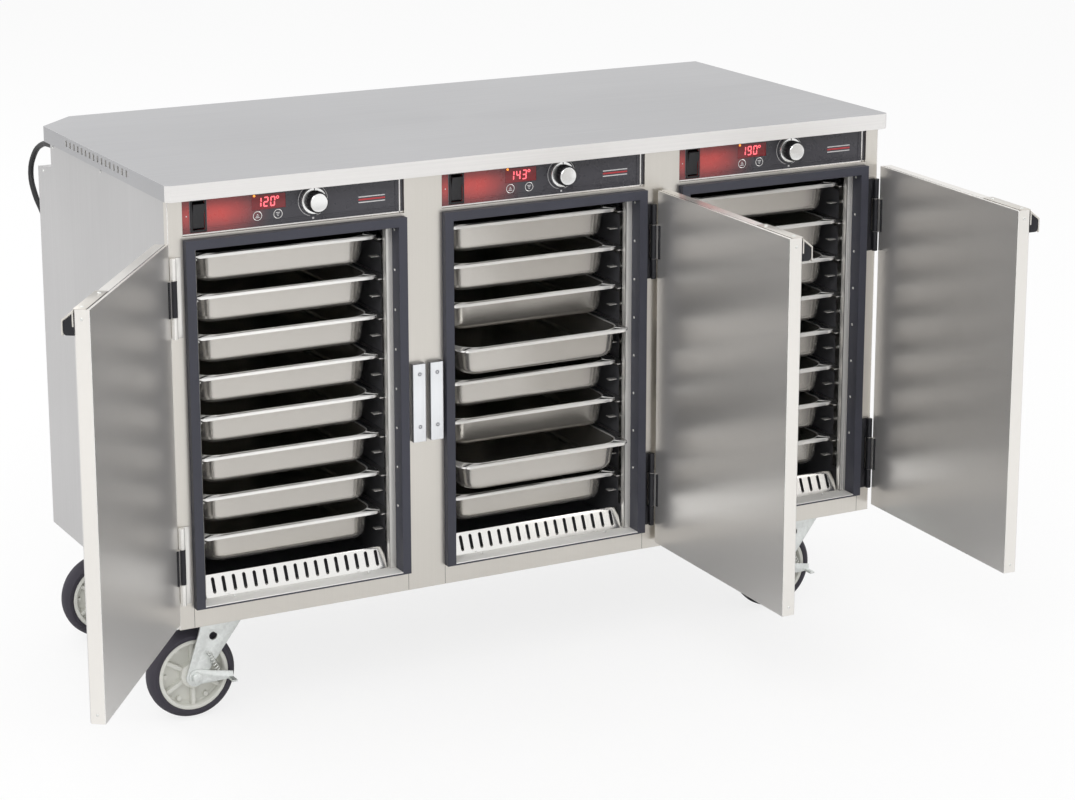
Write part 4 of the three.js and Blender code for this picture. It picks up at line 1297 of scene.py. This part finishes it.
@dataclass
class Door:
    """One door with its pull, hinges, seams and small screws."""

    bay: Bay
    reach: float = 424.0
    inner: float = -5.8
    outer: float = -29.8
    bottom: float = 12.0
    top: float = 638.0
    seam_inset: float = 4.2
    pull_length: float = 110.0

    @property
    def body(self) -> str:
        """The door's body."""
        return f"door_{self.bay.name}"

    def slab(self, name: str, first: Point, second: Point, bevel: float = 0.0) -> Piece:
        """A block in the shut door's place.

        Args:
            name: The piece's name.
            first: A corner: along the door from its pin, depth, height.
            second: The corner across.
            bevel: Width of its bevel.

        Returns:
            The block.
        """
        sign = self.bay.sign
        return block(name, (sign * first[0], *first[1:]), (sign * second[0], *second[1:]), bevel)

    def mount(self, name: str, parts: Sequence[Piece], finish: Finish) -> None:
        """Join parts, turn them to where the door stands open and fit them.

        Args:
            name: What the piece's name starts with.
            parts: What it is made of, in the shut door's place.
            finish: The finish.
        """
        piece = joined(f"{name}_{self.bay.name}", parts)
        piece.data.transform(self.bay.hang)
        fit(piece, finish, self.body)

    def build(self) -> None:
        """Dress the door and make its pieces."""
        name = self.bay.name
        # The door's faces along its thickness take the darker tone and its edges the lighter one: painted
        # light and shade.
        across = self.bay.hang.to_3x3() @ Vector(BACKWARD)
        dress(self.body, replace(DOOR, name=f"door_brushed_{name}", axis=tuple(across)))
        pull = refined(f"door_pull_{name}", f"pull_plate_{name}", 0.7)
        fit(pull, FRAME, self.body, (f"door_pull_{name}",))
        for level in ("lower", "upper"):
            node = f"hinge_{name}_{level}"
            leaf = refined(node, f"hinge_leaf_{name}_{level}", 0.5)
            # The left door's hinge leaves get the near-white jamb steel, a painted highlight, where the other
            # doors' leaves are black.
            fit(leaf, JAMB if name == "left" else BLACK_STEEL, nodes=(node,))
        self.build_knuckles()
        self.build_grip()
        self.build_seams()
        self.build_screws()
        self.build_bar(name)

    def build_knuckles(self) -> None:
        """Cover the door's hinge knuckles with their black sleeves and leaves."""
        parts = []
        for bottom in (44, 485):
            low, high = bottom + 35.6, bottom + 94.4
            sleeve = [(4.6, low), (5.35, low), (5.35, high), (4.6, high)]
            parts.append(turned("sleeve", sleeve, steps=32))
            parts.append(self.slab("leaf", (3.6, self.inner - 0.2, low), (13, self.inner + 3.4, high), 0.4))
        self.mount("door_knuckles", parts, BLACK_STEEL)

    def build_grip(self) -> None:
        """Close the pull's two ends with dark cheeks and lay its tab over the door's top."""
        sign = self.bay.sign
        profile = ((0, -5), (-15.6, -17.4), (-16.3, -19), (-16.3, -33), (-15.2, -36.6), (-12, -38.6),
                   (0, -38.6))
        cheeks = []
        for along in (self.reach - 2.2, self.reach - self.pull_length + 0.8):
            points = [(sign * along, self.outer + y, self.top + z) for y, z in profile]
            cheeks.append(plate("cheek", points, (sign * 1.6, 0, 0), 0.3))
        self.mount("pull_cheeks", cheeks, BLACK_STEEL)
        tab = self.slab("tab", (self.reach - self.pull_length, self.outer - 0.4, self.top - 0.3),
                        (self.reach, self.inner - 5.4, self.top + 1.3), 0.5)
        self.mount("pull_tab", [tab], FRAME)

    def build_seams(self) -> None:
        """Make the seams between the door's outer pan and its liner, dark and beside them bright."""
        depth, start, end = self.inner - self.seam_inset, 5, self.reach - 2.5
        edges = (self.top - 0.2, self.top + 0.12), (self.bottom - 0.12, self.bottom + 0.2)
        seams = [self.slab("seam", (start, depth - 1.1, low), (end, depth, high)) for low, high in edges]
        self.mount("door_seams", seams, SEAM)
        rims = [self.slab("rim", (start, depth + 0.1, self.top - 0.2), (end, depth + 1.2, self.top + 0.25)),
                self.slab("rim", (self.reach - 1.3, self.inner - 0.9, self.bottom + 1),
                          (self.reach + 0.15, self.inner + 0.12, self.top - 1))]
        self.mount("door_rim", rims, BRIGHT)

    def build_screws(self) -> None:
        """Set the door's screws on its free edge, its top and its liner."""
        screws = Fasteners(f"door_screws_{self.bay.name}", self.body)
        hang, sign = self.bay.hang, self.bay.sign
        for point, facing, radius in (
                ((self.reach, -18, self.top - 14), (1, 0, 0), 2.4),
                ((self.reach, -18, self.bottom + 14), (1, 0, 0), 2.4),
                ((self.reach - 12, -20, self.top + 1.3), UP, 3.2),
                ((self.reach - 96, -20, self.top + 1.3), UP, 3.4),
                ((self.reach - 12, self.inner, 295), BACKWARD, 0.6),
                ((self.reach - 12, self.inner, 356), BACKWARD, 0.6)):
            at = hang @ metres((sign * point[0], *point[1:]))
            screws.screw(at / MM, hang.to_3x3() @ Vector((sign * facing[0], *facing[1:])), radius)
        screws.fit()

    def build_bar(self, name: str) -> None:
        """Round the magnet bar's edges and set its two flush screws."""
        node = f"magnet_bar_{name}"
        fit(refined(node, f"catch_bar_{name}", 0.5), BAR, nodes=(node,))
        low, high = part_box(node)
        middle = (low[0] + high[0]) / 2 / MM
        flush = [(0, -0.6), (3.4, -0.6), (3.4, 0.08), (3, 0.16), (1.5, 0.16), (1.2, -0.5), (0, -0.5)]
        heads = [turned("head", flush, (middle, low[1] / MM, z), FORWARD, 24) for z in (285, 375)]
        fit(joined(f"catch_screws_{name}", heads), SHADED)


@dataclass
class Caster:
    """One swivel caster: fork, wheel and, at the front, a brake with its spring."""

    corner: str
    swivel: tuple[float, float]
    trail: float = 48.0
    axle: float = -112.0
    spokes: int = 6
    pedal_root: float = 14.0
    pedal_share: float = 0.76
    spring_start: Point = (21, -32, 42)
    spring_end: Point = (38, -32, 6)
    spring_coils: int = 7
    spring_steps: int = 96

    @property
    def hub(self) -> Point:
        """The wheel's centre."""
        return (self.swivel[0] - self.trail, self.swivel[1], self.axle)

    def build(self) -> None:
        """Make the fork, the wheel, the bolts and the brake."""
        self.build_fork()
        self.build_wheel()
        bolts = Fasteners(f"plate_bolts_{self.corner}")
        for dx in (-44, 44):
            for dy in (-37, 37):
                bolts.bolt((self.swivel[0] + dx, self.swivel[1] + dy, -5), (0, 0, -1), 5.5)
        bolts.fit()
        if self.corner.startswith("front"):
            self.build_pedal()
            self.build_spring()

    def build_fork(self) -> None:
        """Round the fork's edges and cut the round hole in its cheeks."""
        x, y = self.swivel
        hole = [(0, -60), (7, -60), (7, 60), (0, 60)]
        cutter = turned("hole", hole, (x - 16, y, -46), BACKWARD, 24)
        node = f"caster_fork_{self.corner}"
        fork = refined(node, f"fork_{self.corner}", 1.0, [cutter])
        fit(fork, ZINC, f"fork_{self.corner}", (node,))

    def build_wheel(self) -> None:
        """Make the tyre and the spoked hub."""
        body = f"wheel_{self.corner}"
        section = [(60.8, 17.4), (63, 18.6), (68, 18.2), (72.4, 14.2), (75, 8), (76, 0)]
        tyre = section + [(r, -h) for r, h in reversed(section[:-1])]
        piece = turned(f"tyre_{self.corner}", tyre, self.hub, BACKWARD, 72)
        fit(piece, TYRE, body, (body,))
        half = [(5.3, 23), (10, 23), (12, 21.5), (20.5, 19), (22, 17.5), (22, 4), (24, 2.5), (50, 2.5),
                (53, 5), (53, 15.6), (54.4, 17.6), (57.4, 18.2), (60, 17.4), (61, 16)]
        parts = [turned("hub", half + [(r, -h) for r, h in reversed(half)], steps=72)]
        lug = [(0, -8), (4.2, -8), (4.2, 8), (0, 8)]
        for k in range(self.spokes):
            spoke = block("spoke", (20, -3.6, -13), (55, 3.6, 13), 1.6)
            spoke.data.transform(Matrix.Rotation(ROUND * (k + 0.5) / self.spokes, 4, "Z"))
            angle = ROUND * k / self.spokes
            parts += [spoke, turned("lug", lug, (47 * math.cos(angle), 47 * math.sin(angle), 0), UP, 12)]
        hub = joined(f"hub_{self.corner}", parts)
        hub.data.transform(shifted(self.hub) @ Matrix.Rotation(-math.pi / 2, 4, "X"))
        fit(hub, HUB, body)

    def build_pedal(self) -> None:
        """Round the pedal's edges and shorten it beyond its root."""
        node = f"brake_pedal_{self.corner}"
        pedal = refined(node, f"brake_lever_{self.corner}", 0.6)
        root = (self.hub[0] + self.pedal_root) * MM
        for vertex in pedal.data.vertices:
            if vertex.co.x > root:
                vertex.co.x = root + (vertex.co.x - root) * self.pedal_share
        fit(pedal, ZINC, f"brake_{self.corner}", (node,))

    def build_spring(self) -> None:
        """Wind the brake's return spring on the fork's cheek."""
        start, end = (Vector(self.hub) + Vector(place) for place in (self.spring_start, self.spring_end))
        way, side = end - start, Vector(BACKWARD)
        other = way.cross(side).normalized()
        points = []
        for k in range(self.spring_steps + 1):
            share = k / self.spring_steps
            angle = ROUND * self.spring_coils * share
            spread = 3.4 if 0.08 < share < 0.92 else 0.3
            points.append(start + way * share + (side * math.cos(angle) + other * math.sin(angle)) * spread)
        pick(wire(f"brake_spring_{self.corner}", points, 1.0, False, bevel_resolution=2))
        bpy.ops.object.convert(target="MESH")
        spring = smoothed(bpy.context.active_object, 60)
        fit(spring, BOLT, f"fork_{self.corner}")


CASTERS = (
    ("front_left", (-568.0, -220.0)),
    ("front_right", (568.0, -220.0)),
    ("rear_left", (-568.0, 205.0)),
    ("rear_right", (568.0, 205.0)),
)


def main() -> None:
    """Build the camera, the cord and the studio, then the cabinet's sub-assemblies in order."""
    logging.basicConfig(level=logging.INFO, format="%(message)s")
    bpy.ops.object.select_all(action="DESELECT")
    bpy.context.scene.view_settings.view_transform = "Standard"
    Viewpoint().build()
    PowerLead().build()
    Studio().build()
    Housing().build()
    Racks().build()
    for bay in BAYS:
        ControlPanel(bay).build()
        Door(bay).build()
    for corner, swivel in CASTERS:
        Caster(corner, swivel).build()


if __name__ == "__main__":
    main()
